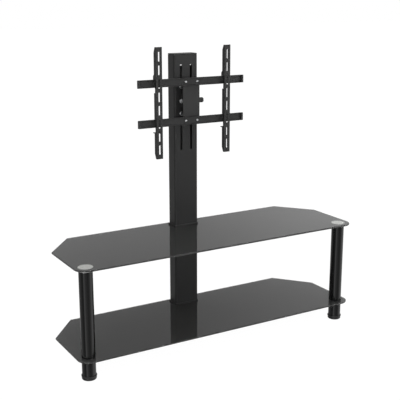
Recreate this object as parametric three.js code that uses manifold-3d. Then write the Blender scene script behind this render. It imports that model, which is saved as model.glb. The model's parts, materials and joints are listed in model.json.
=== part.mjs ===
// A stand for a flat screen: two black glass shelves on front tube legs and a rear column.
// The column goes on above the upper shelf as a mast, and a mount on the mast holds the screen.
// The mount slides in height, swivels and tilts, and its two arms slide along two rails.
// Millimetres, +Z up. The origin is on the floor, under the middle of the shelves; the front faces -Y.
import * as THREE from "three";
import { mergeVertices } from "three/addons/utils/BufferGeometryUtils.js";
import Module from "manifold-3d";

// Clearances and rounding
const seatGap = 0.3; // between pieces that rest on each other
const slideGap = 0.5; // between pieces that slide or turn on each other
const cutOverrun = 6; // how far a cut reaches past the faces that it opens
const joinOverlap = 1; // how far one form of a piece reaches into the next before they are joined

// Glass shelves
const glassWidth = 1200;
const glassDepth = 400;
const glassThickness = 6;
const glassFrontRadius = 45;
const glassClipWidth = 115; // across the clipped rear corner, along X
const glassClipDepth = 141; // across the clipped rear corner, along Y
const glassVertexRadius = 6;
const lowerShelfTop = 83.5;
const upperShelfTop = 418;
const glassBoreClearance = 1.5; // round each rod that passes the glass

// Front legs
const legSideSetback = 44;
const legFrontSetback = 48;
const legDiameter = 50.4;
const legWall = 1.8;
const discDiameter = 55;
const discRim = 4;
const discBossDiameter = 22;
const discBossLength = 14;
const insertLength = 24;
const gasketThickness = 1.2;
const legRodDiameter = 10;
const legRodGrip = 20; // how far the rod reaches into the insert at each end

// Front feet
const socketRingDiameter = 56;
const socketRingHeight = 5.6;
const socketPlugLength = 24;
const frontFootDiameter = 53.6;
const footHeight = 11;
const footEdgeRadius = 4;
const footStudDiameter = 8;
const frontStudLength = 24;

// Column and mast
const columnWidth = 104;
const columnDepth = 50;
const columnWall = 2.5;
const columnCornerRadius = 8;
const columnRearSetback = 26; // from the rear edge of the glass
const collarProud = 3.5;
const collarHeight = 6;
const collarFloor = 1.5;
const padThickness = 2;
const endPlateThickness = 4;
const coverThickness = 2;
const coverLipDepth = 9;
const cablePortHeight = 45;
const capThickness = 4;
const capPlugDepth = 10;
const mastEndMargin = 42; // from the highest clamp bolt to the top of the mast

// Tie rods and nuts
const tieRodDiameter = 10;
const tieRodSpacing = 68;
const tieRodEnd = 5; // beyond each nut
const tieNutWidth = 17;
const tieNutHeight = 8;

// Rear base
const baseWidth = 380;
const baseDepth = 70;
const baseHeight = 40;
const baseWall = 3;
const rearFootSpacing = 320;
const rearFootDiameter = 40;
const rearStudLength = 45;
const weldNutDiameter = 20;
const weldNutLength = 24;

// Mount: carriage, clamp and swivel
const mountHeight = 926;
const liftUp = 80;
const liftDown = 140;
const carriageWidth = 90;
const carriageHeight = 124;
const carriageThickness = 3;
const carriageCornerRadius = 8;
const clampSpacing = 44;
const clampRise = 52; // from the middle of the carriage to each pair of clamp bolts
const clampBoltDiameter = 8;
const clampHeadWidth = 13;
const clampHeadHeight = 5.3;
const clampPlateWidth = 64;
const clampPlateThickness = 4;
const clampBoltEnd = 2;
const swivelReach = 17; // from the front of the mast to the swivel axis
const swivelPinDiameter = 8;
const pinHeadDiameter = 14;
const pinHeadHeight = 4;
const pinTail = 5;
const lugRadius = 10;
const lugThickness = 4;
const barrelDiameter = 16;
const barrelHeight = 70;
const headWidth = 66;
const headHeight = 50;
const headThickness = 3;

// Mount: tilt and rails
const tiltReach = 12.5; // from the swivel axis to the tilt axis
const earRadius = 8;
const cheekThickness = 3;
const cheekRadius = 9;
const tiltPlateThickness = 3;
const tiltPlateMargin = 13; // beyond the middle of each rail
const tiltBoltDiameter = 8;
const tiltHeadWidth = 13;
const tiltHeadHeight = 5.3;
const knobDiameter = 20;
const knobLength = 20;
const knobBore = 12;
const knobFluteLength = 14;
const knobFluteDiameter = 7;
const knobFluteInset = 1.6; // from the middle of each flute out to the rim of the knob
const railSpacing = 150;
const railLength = 460;
const railHeight = 30;
const railDepth = 10;
const railWall = 2;

// Mount: arms
const armSpacing = 300;
const armWidth = 26;
const armHeight = 420;
const armWall = 2;
const armDepth = 18;
const armFront = 10.5; // from the front of the rail to the front face of the arm
const armEndTaper = 20;
const armEndDepth = 9;
const hookThickness = 4;
const hookRise = 12;
const hookDrop = 20; // how far the arm is lifted to leave the rails
const slotPitch = 50;
const slotLength = 36;
const slotWidth = 6.5;
const lockTabThickness = 3;
const lockTabRim = 5;
const lockScrewDiameter = 6;
const lockScrewReach = 9; // up past the lower edge of the rail
const lockHeadDiameter = 14;
const lockHeadHeight = 12;

// Counts
const slotCount = 8;
const fluteCount = 6;
const roundSteps = 32;
const footSteps = 24;
const hiddenSteps = 16;
const boltSteps = 12;
const cornerSteps = 8;
const glassCornerSteps = 12;
const slotSteps = 8;
const edgeSteps = 3;

// Heights and places that follow from the sizes above
const lowerShelfBottom = lowerShelfTop - glassThickness;
const upperShelfBottom = upperShelfTop - glassThickness;
const legX = glassWidth / 2 - legSideSetback;
const legY = -glassDepth / 2 + legFrontSetback;
const columnY = glassDepth / 2 - columnRearSetback - columnDepth / 2;
const mastFront = columnY - columnDepth / 2;
const mastTop = mountHeight + liftUp + clampRise + mastEndMargin;
const tieRodX = tieRodSpacing / 2;
const boreRadius = (rodDiameter) => rodDiameter / 2 + slideGap;

// Finishes
const blackGlass = new THREE.MeshStandardMaterial({ color: 0x0b0b0c, roughness: 0.04, metalness: 0 });
const brushedDisc = new THREE.MeshStandardMaterial({ color: 0xc9cbcc, roughness: 0.32, metalness: 1 });
const glossBlack = new THREE.MeshStandardMaterial({ color: 0x111112, roughness: 0.16, metalness: 0.1 });
const satinBlack = new THREE.MeshStandardMaterial({ color: 0x1c1c1d, roughness: 0.42, metalness: 0.1 });
const blackPlastic = new THREE.MeshStandardMaterial({ color: 0x161617, roughness: 0.5, metalness: 0 });
const blackRubber = new THREE.MeshStandardMaterial({ color: 0x121212, roughness: 0.85, metalness: 0 });
const zincSteel = new THREE.MeshStandardMaterial({ color: 0xa9abad, roughness: 0.38, metalness: 1 });

// Joining and cutting closed meshes
const wasm = await Module();
wasm.setup();

function toSolid(geometry) {
  const bare = geometry.clone();
  bare.deleteAttribute("normal");
  bare.deleteAttribute("uv");
  const merged = mergeVertices(bare);
  const corners = merged.index.array;
  const kept = [];
  for (let i = 0; i < corners.length; i += 3) {
    const [a, b, c] = [corners[i], corners[i + 1], corners[i + 2]];
    if (a !== b && b !== c && c !== a) kept.push(a, b, c);
  }
  const triVerts = new Uint32Array(kept);
  const vertProperties = merged.attributes.position.array;
  return new wasm.Manifold(new wasm.Mesh({ numProp: 3, vertProperties, triVerts }));
}

function toGeometry(solid) {
  const { vertProperties, triVerts } = solid.getMesh();
  const geometry = new THREE.BufferGeometry();
  geometry.setAttribute("position", new THREE.BufferAttribute(new Float32Array(vertProperties), 3));
  geometry.setIndex(new THREE.BufferAttribute(new Uint32Array(triVerts), 1));
  geometry.computeVertexNormals();
  return geometry;
}

function join(...geometries) {
  return toGeometry(geometries.map(toSolid).reduce((whole, next) => whole.add(next)));
}

function cut(geometry, ...tools) {
  return toGeometry(tools.map(toSolid).reduce((rest, tool) => rest.subtract(tool), toSolid(geometry)));
}

// Basic forms, all closed
function boxBetween(x0, x1, y0, y1, z0, z1) {
  const box = new THREE.BoxGeometry(x1 - x0, y1 - y0, z1 - z0);
  return box.translate((x0 + x1) / 2, (y0 + y1) / 2, (z0 + z1) / 2);
}

// A cylinder that stands on z0, with its axis along Z
function rod(radius, z0, z1, x = 0, y = 0, steps = boltSteps) {
  return new THREE.CylinderGeometry(radius, radius, z1 - z0, steps)
    .rotateX(Math.PI / 2)
    .translate(x, y, (z0 + z1) / 2);
}

function rodAlongX(radius, x0, x1, y = 0, z = 0, steps = boltSteps) {
  return new THREE.CylinderGeometry(radius, radius, x1 - x0, steps)
    .rotateZ(-Math.PI / 2)
    .translate((x0 + x1) / 2, y, z);
}

function rodAlongY(radius, y0, y1, x = 0, z = 0, steps = boltSteps) {
  return new THREE.CylinderGeometry(radius, radius, y1 - y0, steps).translate(x, (y0 + y1) / 2, z);
}

// A hexagon of a given width across its flats has this radius at its corners
function hexRadius(width) {
  return width / Math.sqrt(3);
}

// A turned form: the profile lists radius and height, up the outside and down the inside or the axis
function turned(profile, steps = roundSteps) {
  const points = profile.map(([radius, height]) => new THREE.Vector2(radius, height));
  return new THREE.LatheGeometry(points, steps).rotateX(Math.PI / 2);
}

function ring(outer, inner, z0, z1, steps = roundSteps) {
  return turned([[inner, z0], [outer, z0], [outer, z1], [inner, z1], [inner, z0]], steps);
}

// Flat outlines pulled along one of the axes
function extruded(shape, length, steps = cornerSteps) {
  return new THREE.ExtrudeGeometry(shape, { depth: length, bevelEnabled: false, curveSegments: steps });
}

function pulledAlongZ(shape, z0, z1) {
  return extruded(shape, z1 - z0).translate(0, 0, z0);
}

// A cutting form for an upright slot, pulled along Y
function slotCut(width, length, x, z, y0, y1) {
  const form = extruded(slotOutline(width, length, x, z), y1 - y0, slotSteps);
  return form.rotateX(Math.PI / 2).translate(0, y1, 0);
}

// The outline is drawn in Y and Z
function pulledAlongX(shape, x0, x1) {
  const turn = new THREE.Matrix4().makeBasis(
    new THREE.Vector3(0, 1, 0),
    new THREE.Vector3(0, 0, 1),
    new THREE.Vector3(1, 0, 0),
  );
  return extruded(shape, x1 - x0).applyMatrix4(turn).translate(x0, 0, 0);
}

// The outline is drawn in X and Z
function pulledAlongY(shape, y0, y1) {
  return extruded(shape, y1 - y0).rotateX(Math.PI / 2).translate(0, y1, 0);
}

function outline(points) {
  return new THREE.Shape(points.map(([x, y]) => new THREE.Vector2(x, y)));
}

// The points of a polygon with each corner replaced by an arc; corners run anticlockwise
function roundedCorners(corners) {
  const points = [];
  corners.forEach(([x, y, radius, steps], i) => {
    const [fromX, fromY] = corners[(i + corners.length - 1) % corners.length];
    const [toX, toY] = corners[(i + 1) % corners.length];
    const inward = new THREE.Vector2(x - fromX, y - fromY).normalize();
    const onward = new THREE.Vector2(toX - x, toY - y).normalize();
    const turn = Math.acos(inward.dot(onward));
    const centre = new THREE.Vector2(x, y)
      .addScaledVector(inward, -radius * Math.tan(turn / 2))
      .add(new THREE.Vector2(-inward.y, inward.x).multiplyScalar(radius));
    const start = Math.atan2(inward.y, inward.x) - Math.PI / 2;
    for (let step = 0; step <= steps; step += 1) {
      const angle = start + (turn * step) / steps;
      points.push([centre.x + radius * Math.cos(angle), centre.y + radius * Math.sin(angle)]);
    }
  });
  return points;
}

function roundedPlate(width, height, radius) {
  const [x, z] = [width / 2, height / 2];
  const corners = [[-x, -z], [x, -z], [x, z], [-x, z]];
  return outline(roundedCorners(corners.map(([cx, cz]) => [cx, cz, radius, cornerSteps])));
}

// An upright slot with round ends, drawn round the point x, z
function slotOutline(width, length, x, z) {
  const shape = new THREE.Shape();
  const run = length / 2 - width / 2;
  shape.absarc(x, z + run, width / 2, 0, Math.PI, false);
  shape.absarc(x, z - run, width / 2, Math.PI, 2 * Math.PI, false);
  shape.closePath();
  return shape;
}

function piece(name, geometry, finish, place = [0, 0, 0]) {
  const mesh = new THREE.Mesh(geometry, finish.clone());
  mesh.name = name;
  mesh.position.set(...place);
  return mesh;
}

function groupAt(x, y, z, ...children) {
  const group = new THREE.Group();
  group.position.set(x, y, z);
  group.add(...children);
  return group;
}

// Glass shelves: a wide plate with rounded front corners and clipped rear corners
function shelfGeometry(boreCentres) {
  const [x, y] = [glassWidth / 2, glassDepth / 2];
  const clipX = x - glassClipWidth;
  const clipY = y - glassClipDepth;
  const shape = outline(
    roundedCorners([
      [-x, -y, glassFrontRadius, glassCornerSteps],
      [x, -y, glassFrontRadius, glassCornerSteps],
      [x, clipY, glassVertexRadius, edgeSteps],
      [clipX, y, glassVertexRadius, edgeSteps],
      [-clipX, y, glassVertexRadius, edgeSteps],
      [-x, clipY, glassVertexRadius, edgeSteps],
    ]),
  );
  boreCentres.forEach(([boreX, boreY, rodWidth]) => {
    const bore = new THREE.Path();
    bore.absarc(boreX, boreY, rodWidth / 2 + glassBoreClearance, 0, 2 * Math.PI, true);
    shape.holes.push(bore);
  });
  return pulledAlongZ(shape, 0, glassThickness);
}

const columnBores = [-tieRodX, tieRodX].map((x) => [x, columnY, tieRodDiameter]);
const legBores = [-legX, legX].map((x) => [x, legY, legRodDiameter]);

// One front leg, built round its own axis
const legRadius = legDiameter / 2;
const legInside = legRadius - legWall;
const insertRadius = legInside - seatGap;
const socketBottom = footHeight + seatGap;
const lowerTubeBottom = socketBottom + socketRingHeight + seatGap;
const lowerTubeTop = lowerShelfBottom - gasketThickness - 2 * seatGap;
const upperTubeBottom = lowerShelfTop + gasketThickness + 2 * seatGap;
const discTop = upperShelfBottom - seatGap;
const upperTubeTop = discTop - discRim - seatGap;

function tubeGeometry(z0, z1) {
  return ring(legRadius, legInside, z0, z1);
}

function insertGeometry(boreWidth, z0, z1) {
  return ring(insertRadius, boreRadius(boreWidth), z0, z1, hiddenSteps);
}

// A disc that is bonded under the glass, with a boss that enters the top insert
function discGeometry() {
  const bottom = discTop - discRim;
  const boss = discBossDiameter / 2;
  return turned([
    [0, bottom - discBossLength],
    [boss, bottom - discBossLength],
    [boss, bottom],
    [discDiameter / 2, bottom],
    [discDiameter / 2, discTop],
    [0, discTop],
  ]);
}

// The ring under the lower tube, with a plug that takes the stud of the foot
function socketGeometry() {
  const bore = boreRadius(footStudDiameter);
  const ringTop = socketBottom + socketRingHeight;
  return turned(
    [
      [bore, socketBottom],
      [socketRingDiameter / 2, socketBottom],
      [socketRingDiameter / 2, ringTop],
      [insertRadius, ringTop],
      [insertRadius, ringTop + socketPlugLength],
      [bore, ringTop + socketPlugLength],
      [bore, socketBottom],
    ],
    footSteps,
  );
}

// A levelling foot: a round pad with a softened lower edge, and a threaded stud
function footGeometry(diameter, studLength) {
  const radius = diameter / 2;
  const stud = footStudDiameter / 2;
  const edge = [];
  for (let step = 0; step <= edgeSteps; step += 1) {
    const angle = (Math.PI / 2) * (step / edgeSteps);
    edge.push([
      radius - footEdgeRadius + footEdgeRadius * Math.sin(angle),
      footEdgeRadius - footEdgeRadius * Math.cos(angle),
    ]);
  }
  return turned(
    [
      [0, 0],
      ...edge,
      [radius, footHeight],
      [stud, footHeight],
      [stud, footHeight + studLength],
      [0, footHeight + studLength],
    ],
    footSteps,
  );
}

function legGroup(side, x) {
  const gasket = (z0) => ring(legRadius, boreRadius(legRodDiameter), z0, z0 + gasketThickness, footSteps);
  const topInsert = insertGeometry(discBossDiameter, upperTubeTop - insertLength, upperTubeTop);
  const bottomInsert = insertGeometry(legRodDiameter, upperTubeBottom, upperTubeBottom + insertLength);
  const lowerInsert = insertGeometry(legRodDiameter, lowerTubeTop - insertLength, lowerTubeTop);
  const legRod = rod(legRodDiameter / 2, lowerTubeTop - legRodGrip, upperTubeBottom + legRodGrip);
  return groupAt(
    x,
    legY,
    0,
    piece(`${side}_disc`, discGeometry(), brushedDisc),
    piece(`${side}_upper_tube`, tubeGeometry(upperTubeBottom, upperTubeTop), glossBlack),
    piece(`${side}_upper_tube_top_insert`, topInsert, blackPlastic),
    piece(`${side}_upper_tube_bottom_insert`, bottomInsert, blackPlastic),
    piece(`${side}_leg_rod`, legRod, zincSteel),
    piece(`${side}_gasket_above_glass`, gasket(lowerShelfTop + seatGap), blackRubber),
    piece(`${side}_gasket_below_glass`, gasket(lowerTubeTop + seatGap), blackRubber),
    piece(`${side}_lower_tube`, tubeGeometry(lowerTubeBottom, lowerTubeTop), glossBlack),
    piece(`${side}_lower_tube_insert`, lowerInsert, blackPlastic),
    piece(`${side}_socket_ring`, socketGeometry(), blackPlastic),
    piece(`${side}_front_foot`, footGeometry(frontFootDiameter, frontStudLength), blackPlastic),
  );
}

// Column, built round the middle of its own section
const frontFace = -columnDepth / 2;
const rearFace = columnDepth / 2;
const insideX = columnWidth / 2 - columnWall;
const insideFront = frontFace + columnWall;
const lowerPadTop = lowerShelfBottom - seatGap;
const lowerCollarBottom = lowerShelfTop + seatGap;
const lowerShellBottom = lowerCollarBottom + collarFloor + seatGap;
const upperPadTop = upperShelfBottom - seatGap;
const lowerShellTop = upperPadTop - padThickness - seatGap;
const upperCollarBottom = upperShelfTop + seatGap;
const mastBottom = upperCollarBottom + collarFloor + seatGap;

// The section of the column, grown or shrunk all round: rounded at the front, square at the rear
function columnOutline(growth, rear = rearFace + growth) {
  const x = columnWidth / 2 + growth;
  const radius = columnCornerRadius + growth;
  const front = frontFace - growth;
  const shape = new THREE.Shape();
  shape.moveTo(x, rear);
  shape.lineTo(-x, rear);
  shape.absarc(-x + radius, front + radius, radius, Math.PI, 1.5 * Math.PI, false);
  shape.absarc(x - radius, front + radius, radius, 1.5 * Math.PI, 2 * Math.PI, false);
  shape.closePath();
  return shape;
}

function tieRodBores(z0, z1) {
  const radius = boreRadius(tieRodDiameter);
  return [-tieRodX, tieRodX].map((x) => rod(radius, z0 - cutOverrun, z1 + cutOverrun, x));
}

// A shell that is open at the rear, with a thick plate across its bottom and, if wanted, its top
function shellGeometry(z0, z1, plateAtTop) {
  const roomTop = plateAtTop ? z1 - endPlateThickness : z1 + cutOverrun;
  const room = columnOutline(-columnWall, rearFace + cutOverrun);
  return cut(
    pulledAlongZ(columnOutline(0), z0, z1),
    pulledAlongZ(room, z0 + endPlateThickness, roomTop),
    ...tieRodBores(z0, z1),
  );
}

// A flat cover with two lips that grip inside the shell
function coverGeometry(z0, z1) {
  const x = insideX - seatGap;
  const lip = rearFace - coverThickness - coverLipDepth;
  const shape = outline([
    [-x, lip],
    [-x + coverThickness, lip],
    [-x + coverThickness, rearFace - coverThickness],
    [x - coverThickness, rearFace - coverThickness],
    [x - coverThickness, lip],
    [x, lip],
    [x, rearFace],
    [-x, rearFace],
  ]);
  return pulledAlongZ(shape, z0, z1);
}

// A tray that stands on the glass and frames the foot of a section
function collarGeometry(z0) {
  const tray = pulledAlongZ(columnOutline(collarProud), z0, z0 + collarHeight);
  const seat = pulledAlongZ(columnOutline(seatGap), z0 + collarFloor, z0 + collarHeight + cutOverrun);
  return cut(tray, seat, ...tieRodBores(z0, z0 + collarHeight));
}

function padGeometry(z1) {
  const pad = pulledAlongZ(columnOutline(0), z1 - padThickness, z1);
  return cut(pad, ...tieRodBores(z1 - padThickness, z1));
}

function mastSlots() {
  const width = clampBoltDiameter + 2 * slideGap;
  const low = mountHeight - liftDown - clampRise - width / 2 - slideGap;
  const high = mountHeight + liftUp + clampRise + width / 2 + slideGap;
  const middle = (low + high) / 2;
  const [y0, y1] = [frontFace - cutOverrun, insideFront + cutOverrun];
  return [-clampSpacing / 2, clampSpacing / 2].map((x) => slotCut(width, high - low, x, middle, y0, y1));
}

function capGeometry() {
  const lidBottom = mastTop + seatGap;
  const plug = columnOutline(-columnWall - seatGap, rearFace - columnWall);
  return join(
    pulledAlongZ(plug, mastTop - capPlugDepth, lidBottom + joinOverlap),
    pulledAlongZ(columnOutline(0), lidBottom, lidBottom + capThickness),
  );
}

// Rear base and the nuts of the tie rods
const baseTop = lowerPadTop - padThickness - seatGap;
const baseRoof = baseTop - baseWall;
const lowerNutTop = baseRoof - seatGap;
const upperNutBottom = mastBottom + endPlateThickness + seatGap;

function tieNutGeometry() {
  const nut = rod(hexRadius(tieNutWidth), 0, tieNutHeight, 0, 0, 6);
  return cut(nut, rod(boreRadius(tieRodDiameter), -cutOverrun, tieNutHeight + cutOverrun));
}

// A channel under the lower glass, open below, with a welded nut for each rear foot
function baseGeometry() {
  const [x, y] = [baseWidth / 2, baseDepth / 2];
  const bottom = baseTop - baseHeight;
  const nutBottom = baseRoof - weldNutLength;
  const channel = cut(
    boxBetween(-x, x, -y, y, bottom, baseTop),
    boxBetween(-x - cutOverrun, x + cutOverrun, -y + baseWall, y - baseWall, bottom - cutOverrun, baseRoof),
    ...tieRodBores(baseRoof, baseTop),
  );
  const footXs = [-rearFootSpacing / 2, rearFootSpacing / 2];
  const weldNuts = footXs.map((footX) => rod(weldNutDiameter / 2, nutBottom, baseRoof + joinOverlap, footX));
  const studBores = footXs.map((footX) =>
    rod(boreRadius(footStudDiameter), nutBottom - cutOverrun, baseRoof - seatGap, footX),
  );
  return cut(join(channel, ...weldNuts), ...studBores);
}

function columnGroup() {
  const tieRods = { left: -tieRodX, right: tieRodX };
  const rearFeet = { left: -rearFootSpacing / 2, right: rearFootSpacing / 2 };
  const rodBottom = lowerNutTop - tieNutHeight - tieRodEnd;
  const rodTop = upperNutBottom + tieNutHeight + tieRodEnd;
  const lowerShell = shellGeometry(lowerShellBottom, lowerShellTop, true);
  const mastShell = cut(shellGeometry(mastBottom, mastTop, false), ...mastSlots());
  const lowerCover = coverGeometry(lowerShellBottom + cablePortHeight, lowerShellTop - cablePortHeight);
  const mastCover = coverGeometry(mastBottom + cablePortHeight, mastTop - cablePortHeight);
  return groupAt(
    0,
    columnY,
    0,
    piece("rear_base", baseGeometry(), satinBlack),
    ...Object.entries(rearFeet).map(([side, x]) =>
      piece(`${side}_rear_foot`, footGeometry(rearFootDiameter, rearStudLength), blackPlastic, [x, 0, 0]),
    ),
    piece("base_pad", padGeometry(lowerPadTop), blackRubber),
    piece("column_collar", collarGeometry(lowerCollarBottom), blackPlastic),
    piece("column_shell", lowerShell, satinBlack),
    piece("column_cover", lowerCover, blackPlastic),
    piece("upper_shelf_pad", padGeometry(upperPadTop), blackRubber),
    piece("mast_collar", collarGeometry(upperCollarBottom), blackPlastic),
    piece("mast_shell", mastShell, satinBlack),
    piece("mast_cover", mastCover, blackPlastic),
    piece("mast_cap", capGeometry(), blackPlastic),
    ...Object.entries(tieRods).flatMap(([side, x]) => [
      piece(`${side}_tie_rod`, rod(tieRodDiameter / 2, rodBottom, rodTop), zincSteel, [x, 0, 0]),
      piece(`${side}_tie_rod_lower_nut`, tieNutGeometry(), zincSteel, [x, 0, lowerNutTop - tieNutHeight]),
      piece(`${side}_tie_rod_upper_nut`, tieNutGeometry(), zincSteel, [x, 0, upperNutBottom]),
    ]),
  );
}

// Mount carriage, round the front face of the mast at the height of the tilt axis
const clampPlaces = {
  upper_left: [-clampSpacing / 2, clampRise],
  upper_right: [clampSpacing / 2, clampRise],
  lower_left: [-clampSpacing / 2, -clampRise],
  lower_right: [clampSpacing / 2, -clampRise],
};
const carriageRear = -seatGap;
const carriageFront = carriageRear - carriageThickness;
const clampPlateFront = columnWall + seatGap;
const clampPlateRear = clampPlateFront + clampPlateThickness;
const lugInside = barrelHeight / 2 + seatGap;

function lugOutline() {
  const shape = new THREE.Shape();
  shape.moveTo(-lugRadius, carriageFront + joinOverlap);
  shape.absarc(0, -swivelReach, lugRadius, Math.PI, 2 * Math.PI, false);
  shape.lineTo(lugRadius, carriageFront + joinOverlap);
  shape.closePath();
  return shape;
}

function clampBores(y0, y1) {
  const radius = boreRadius(clampBoltDiameter);
  const [from, to] = [y0 - cutOverrun, y1 + cutOverrun];
  return Object.values(clampPlaces).map(([x, z]) => rodAlongY(radius, from, to, x, z));
}

function carriageGeometry() {
  const plate = pulledAlongY(
    roundedPlate(carriageWidth, carriageHeight, carriageCornerRadius),
    carriageFront,
    carriageRear,
  );
  const lugBottoms = [-lugInside - lugThickness, lugInside];
  const lugs = lugBottoms.map((z) => pulledAlongZ(lugOutline(), z, z + lugThickness));
  const pinBore = rod(
    boreRadius(swivelPinDiameter),
    -carriageHeight / 2,
    carriageHeight / 2,
    0,
    -swivelReach,
  );
  return cut(join(plate, ...lugs), pinBore, ...clampBores(carriageFront, carriageRear));
}

function clampPlateGeometry() {
  const height = 2 * clampRise + clampHeadWidth + clampBoltDiameter;
  const plate = boxBetween(
    -clampPlateWidth / 2,
    clampPlateWidth / 2,
    clampPlateFront,
    clampPlateRear,
    -height / 2,
    height / 2,
  );
  return cut(plate, ...clampBores(clampPlateFront, clampPlateRear));
}

function clampBoltGeometry() {
  const headRear = carriageFront - seatGap;
  const headFront = headRear - clampHeadHeight;
  return join(
    rodAlongY(hexRadius(clampHeadWidth), headFront, headRear, 0, 0, 6),
    rodAlongY(clampBoltDiameter / 2, headRear - joinOverlap, clampPlateRear + clampBoltEnd),
  );
}

// A headed pin that drops through both lugs and the barrel
function swivelPinGeometry() {
  const headBottom = lugInside + lugThickness + seatGap;
  const pin = swivelPinDiameter / 2;
  return turned(
    [
      [0, -lugInside - lugThickness - pinTail],
      [pin, -lugInside - lugThickness - pinTail],
      [pin, headBottom],
      [pinHeadDiameter / 2, headBottom],
      [pinHeadDiameter / 2, headBottom + pinHeadHeight],
      [0, headBottom + pinHeadHeight],
    ],
    boltSteps,
  );
}

// Swivel head, round the swivel axis: a barrel, a plate and two ears for the tilt bolt
const earOutside = headWidth / 2;
const earInside = earOutside - headThickness;

function tongueOutline(radius, root, centre) {
  const shape = new THREE.Shape();
  shape.moveTo(root, -radius);
  shape.lineTo(root, radius);
  shape.absarc(centre, 0, radius, Math.PI / 2, 1.5 * Math.PI, false);
  shape.closePath();
  return shape;
}

function swivelHeadGeometry() {
  const barrel = rod(barrelDiameter / 2, -barrelHeight / 2, barrelHeight / 2);
  const plate = boxBetween(-earOutside, earOutside, -headThickness, 0, -headHeight / 2, headHeight / 2);
  const ear = tongueOutline(earRadius, -joinOverlap, -tiltReach);
  return cut(
    join(barrel, plate, pulledAlongX(ear, -earOutside, -earInside), pulledAlongX(ear, earInside, earOutside)),
    rod(boreRadius(swivelPinDiameter), -barrelHeight, barrelHeight),
    rodAlongX(boreRadius(tiltBoltDiameter), -headWidth, headWidth, -tiltReach),
  );
}

// Tilt bracket, round the tilt axis: a tall plate in front and two cheeks outside the ears
const cheekInside = earOutside + seatGap;
const cheekOutside = cheekInside + cheekThickness;
const tiltPlateRear = -cheekRadius - slideGap;
const tiltPlateFront = tiltPlateRear - tiltPlateThickness;
const railRear = tiltPlateFront - seatGap;
const railFront = railRear - railDepth;

function cheekOutline() {
  const shape = new THREE.Shape();
  shape.moveTo(tiltPlateRear - joinOverlap, cheekRadius);
  shape.lineTo(tiltPlateRear - joinOverlap, -cheekRadius);
  shape.absarc(0, 0, cheekRadius, -Math.PI / 2, Math.PI / 2, false);
  shape.closePath();
  return shape;
}

function tiltBracketGeometry() {
  const halfHeight = railSpacing / 2 + tiltPlateMargin;
  const x = cheekOutside;
  const plate = boxBetween(-x, x, tiltPlateFront, tiltPlateRear, -halfHeight, halfHeight);
  return cut(
    join(plate, pulledAlongX(cheekOutline(), -x, -cheekInside), pulledAlongX(cheekOutline(), cheekInside, x)),
    rodAlongX(boreRadius(tiltBoltDiameter), -x - cutOverrun, x + cutOverrun),
  );
}

// A channel that opens forwards, with its web against the tilt bracket
function railGeometry() {
  const z = railHeight / 2;
  const shape = outline([
    [railFront, -z],
    [railRear, -z],
    [railRear, z],
    [railFront, z],
    [railFront, z - railWall],
    [railRear - railWall, z - railWall],
    [railRear - railWall, -z + railWall],
    [railFront, -z + railWall],
  ]);
  return pulledAlongX(shape, -railLength / 2, railLength / 2);
}

function tiltBoltGeometry() {
  const headRight = -cheekOutside - seatGap;
  const shankEnd = cheekOutside + knobBore;
  return join(
    rodAlongX(hexRadius(tiltHeadWidth), headRight - tiltHeadHeight, headRight, 0, 0, 6),
    rodAlongX(tiltBoltDiameter / 2, headRight - joinOverlap, shankEnd),
  );
}

function knobGeometry() {
  const start = cheekOutside + seatGap;
  const end = start + knobLength;
  const fluteStart = end - knobFluteLength;
  const radius = knobDiameter / 2;
  const flutes = [];
  for (let i = 0; i < fluteCount; i += 1) {
    const angle = (2 * Math.PI * i) / fluteCount;
    const reach = radius + knobFluteInset;
    const [y, z] = [reach * Math.cos(angle), reach * Math.sin(angle)];
    flutes.push(rodAlongX(knobFluteDiameter / 2, fluteStart, end + cutOverrun, y, z));
  }
  return cut(
    rodAlongX(radius, start, end, 0, 0, roundSteps),
    rodAlongX(boreRadius(tiltBoltDiameter), start - cutOverrun, start + knobBore),
    ...flutes,
  );
}

// Arms: the outline is drawn in depth behind the front face and in height from the tilt axis
const railTop = railSpacing / 2 + railHeight / 2;
const railInner = railSpacing / 2 - railHeight / 2;
const notchDepth = armFront - slideGap;
const hookFront = armFront + railDepth + slideGap;
const hookRear = hookFront + hookThickness;
const lockTabTop = -railTop - hookDrop;
const lockTabBottom = lockTabTop - lockTabThickness;
const lockScrewDepth = armFront + railDepth + slideGap + lockScrewDiameter / 2;
const lockTabRear = lockScrewDepth + lockTabRim;

function flangeOutline() {
  const z = armHeight / 2;
  return outline([
    [0, -z],
    [armEndDepth, -z],
    [armDepth, -z + armEndTaper],
    [armDepth, lockTabBottom],
    [lockTabRear, lockTabBottom],
    [lockTabRear, lockTabTop],
    [notchDepth, lockTabTop],
    [notchDepth, -railInner + slideGap],
    [armDepth, -railInner + slideGap],
    [armDepth, railInner - hookDrop],
    [notchDepth, railInner - hookDrop],
    [notchDepth, railTop + slideGap],
    [hookFront, railTop + slideGap],
    [hookFront, railTop - hookDrop + slideGap],
    [hookRear, railTop - hookDrop + slideGap],
    [hookRear, railTop + hookRise],
    [armDepth, railTop + hookRise + hookRear - armDepth],
    [armDepth, z - armEndTaper],
    [armEndDepth, z],
    [0, z],
  ]);
}

function armGeometry() {
  const [x, z] = [armWidth / 2, armHeight / 2];
  const [boreBottom, boreTop] = [lockTabBottom - cutOverrun, lockTabTop + cutOverrun];
  const screwBore = rod(boreRadius(lockScrewDiameter), boreBottom, boreTop, 0, lockScrewDepth);
  const slots = [];
  for (let i = 0; i < slotCount; i += 1) {
    const height = slotPitch * (i - (slotCount - 1) / 2);
    slots.push(slotCut(slotWidth, slotLength, 0, height, -cutOverrun, armWall + cutOverrun));
  }
  return cut(
    join(
      boxBetween(-x, x, 0, armWall, -z, z),
      pulledAlongX(flangeOutline(), -x, -x + armWall),
      pulledAlongX(flangeOutline(), x - armWall, x),
      boxBetween(-x, x, 0, lockTabRear, lockTabBottom, lockTabTop),
    ),
    ...slots,
    screwBore,
  );
}

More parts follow.
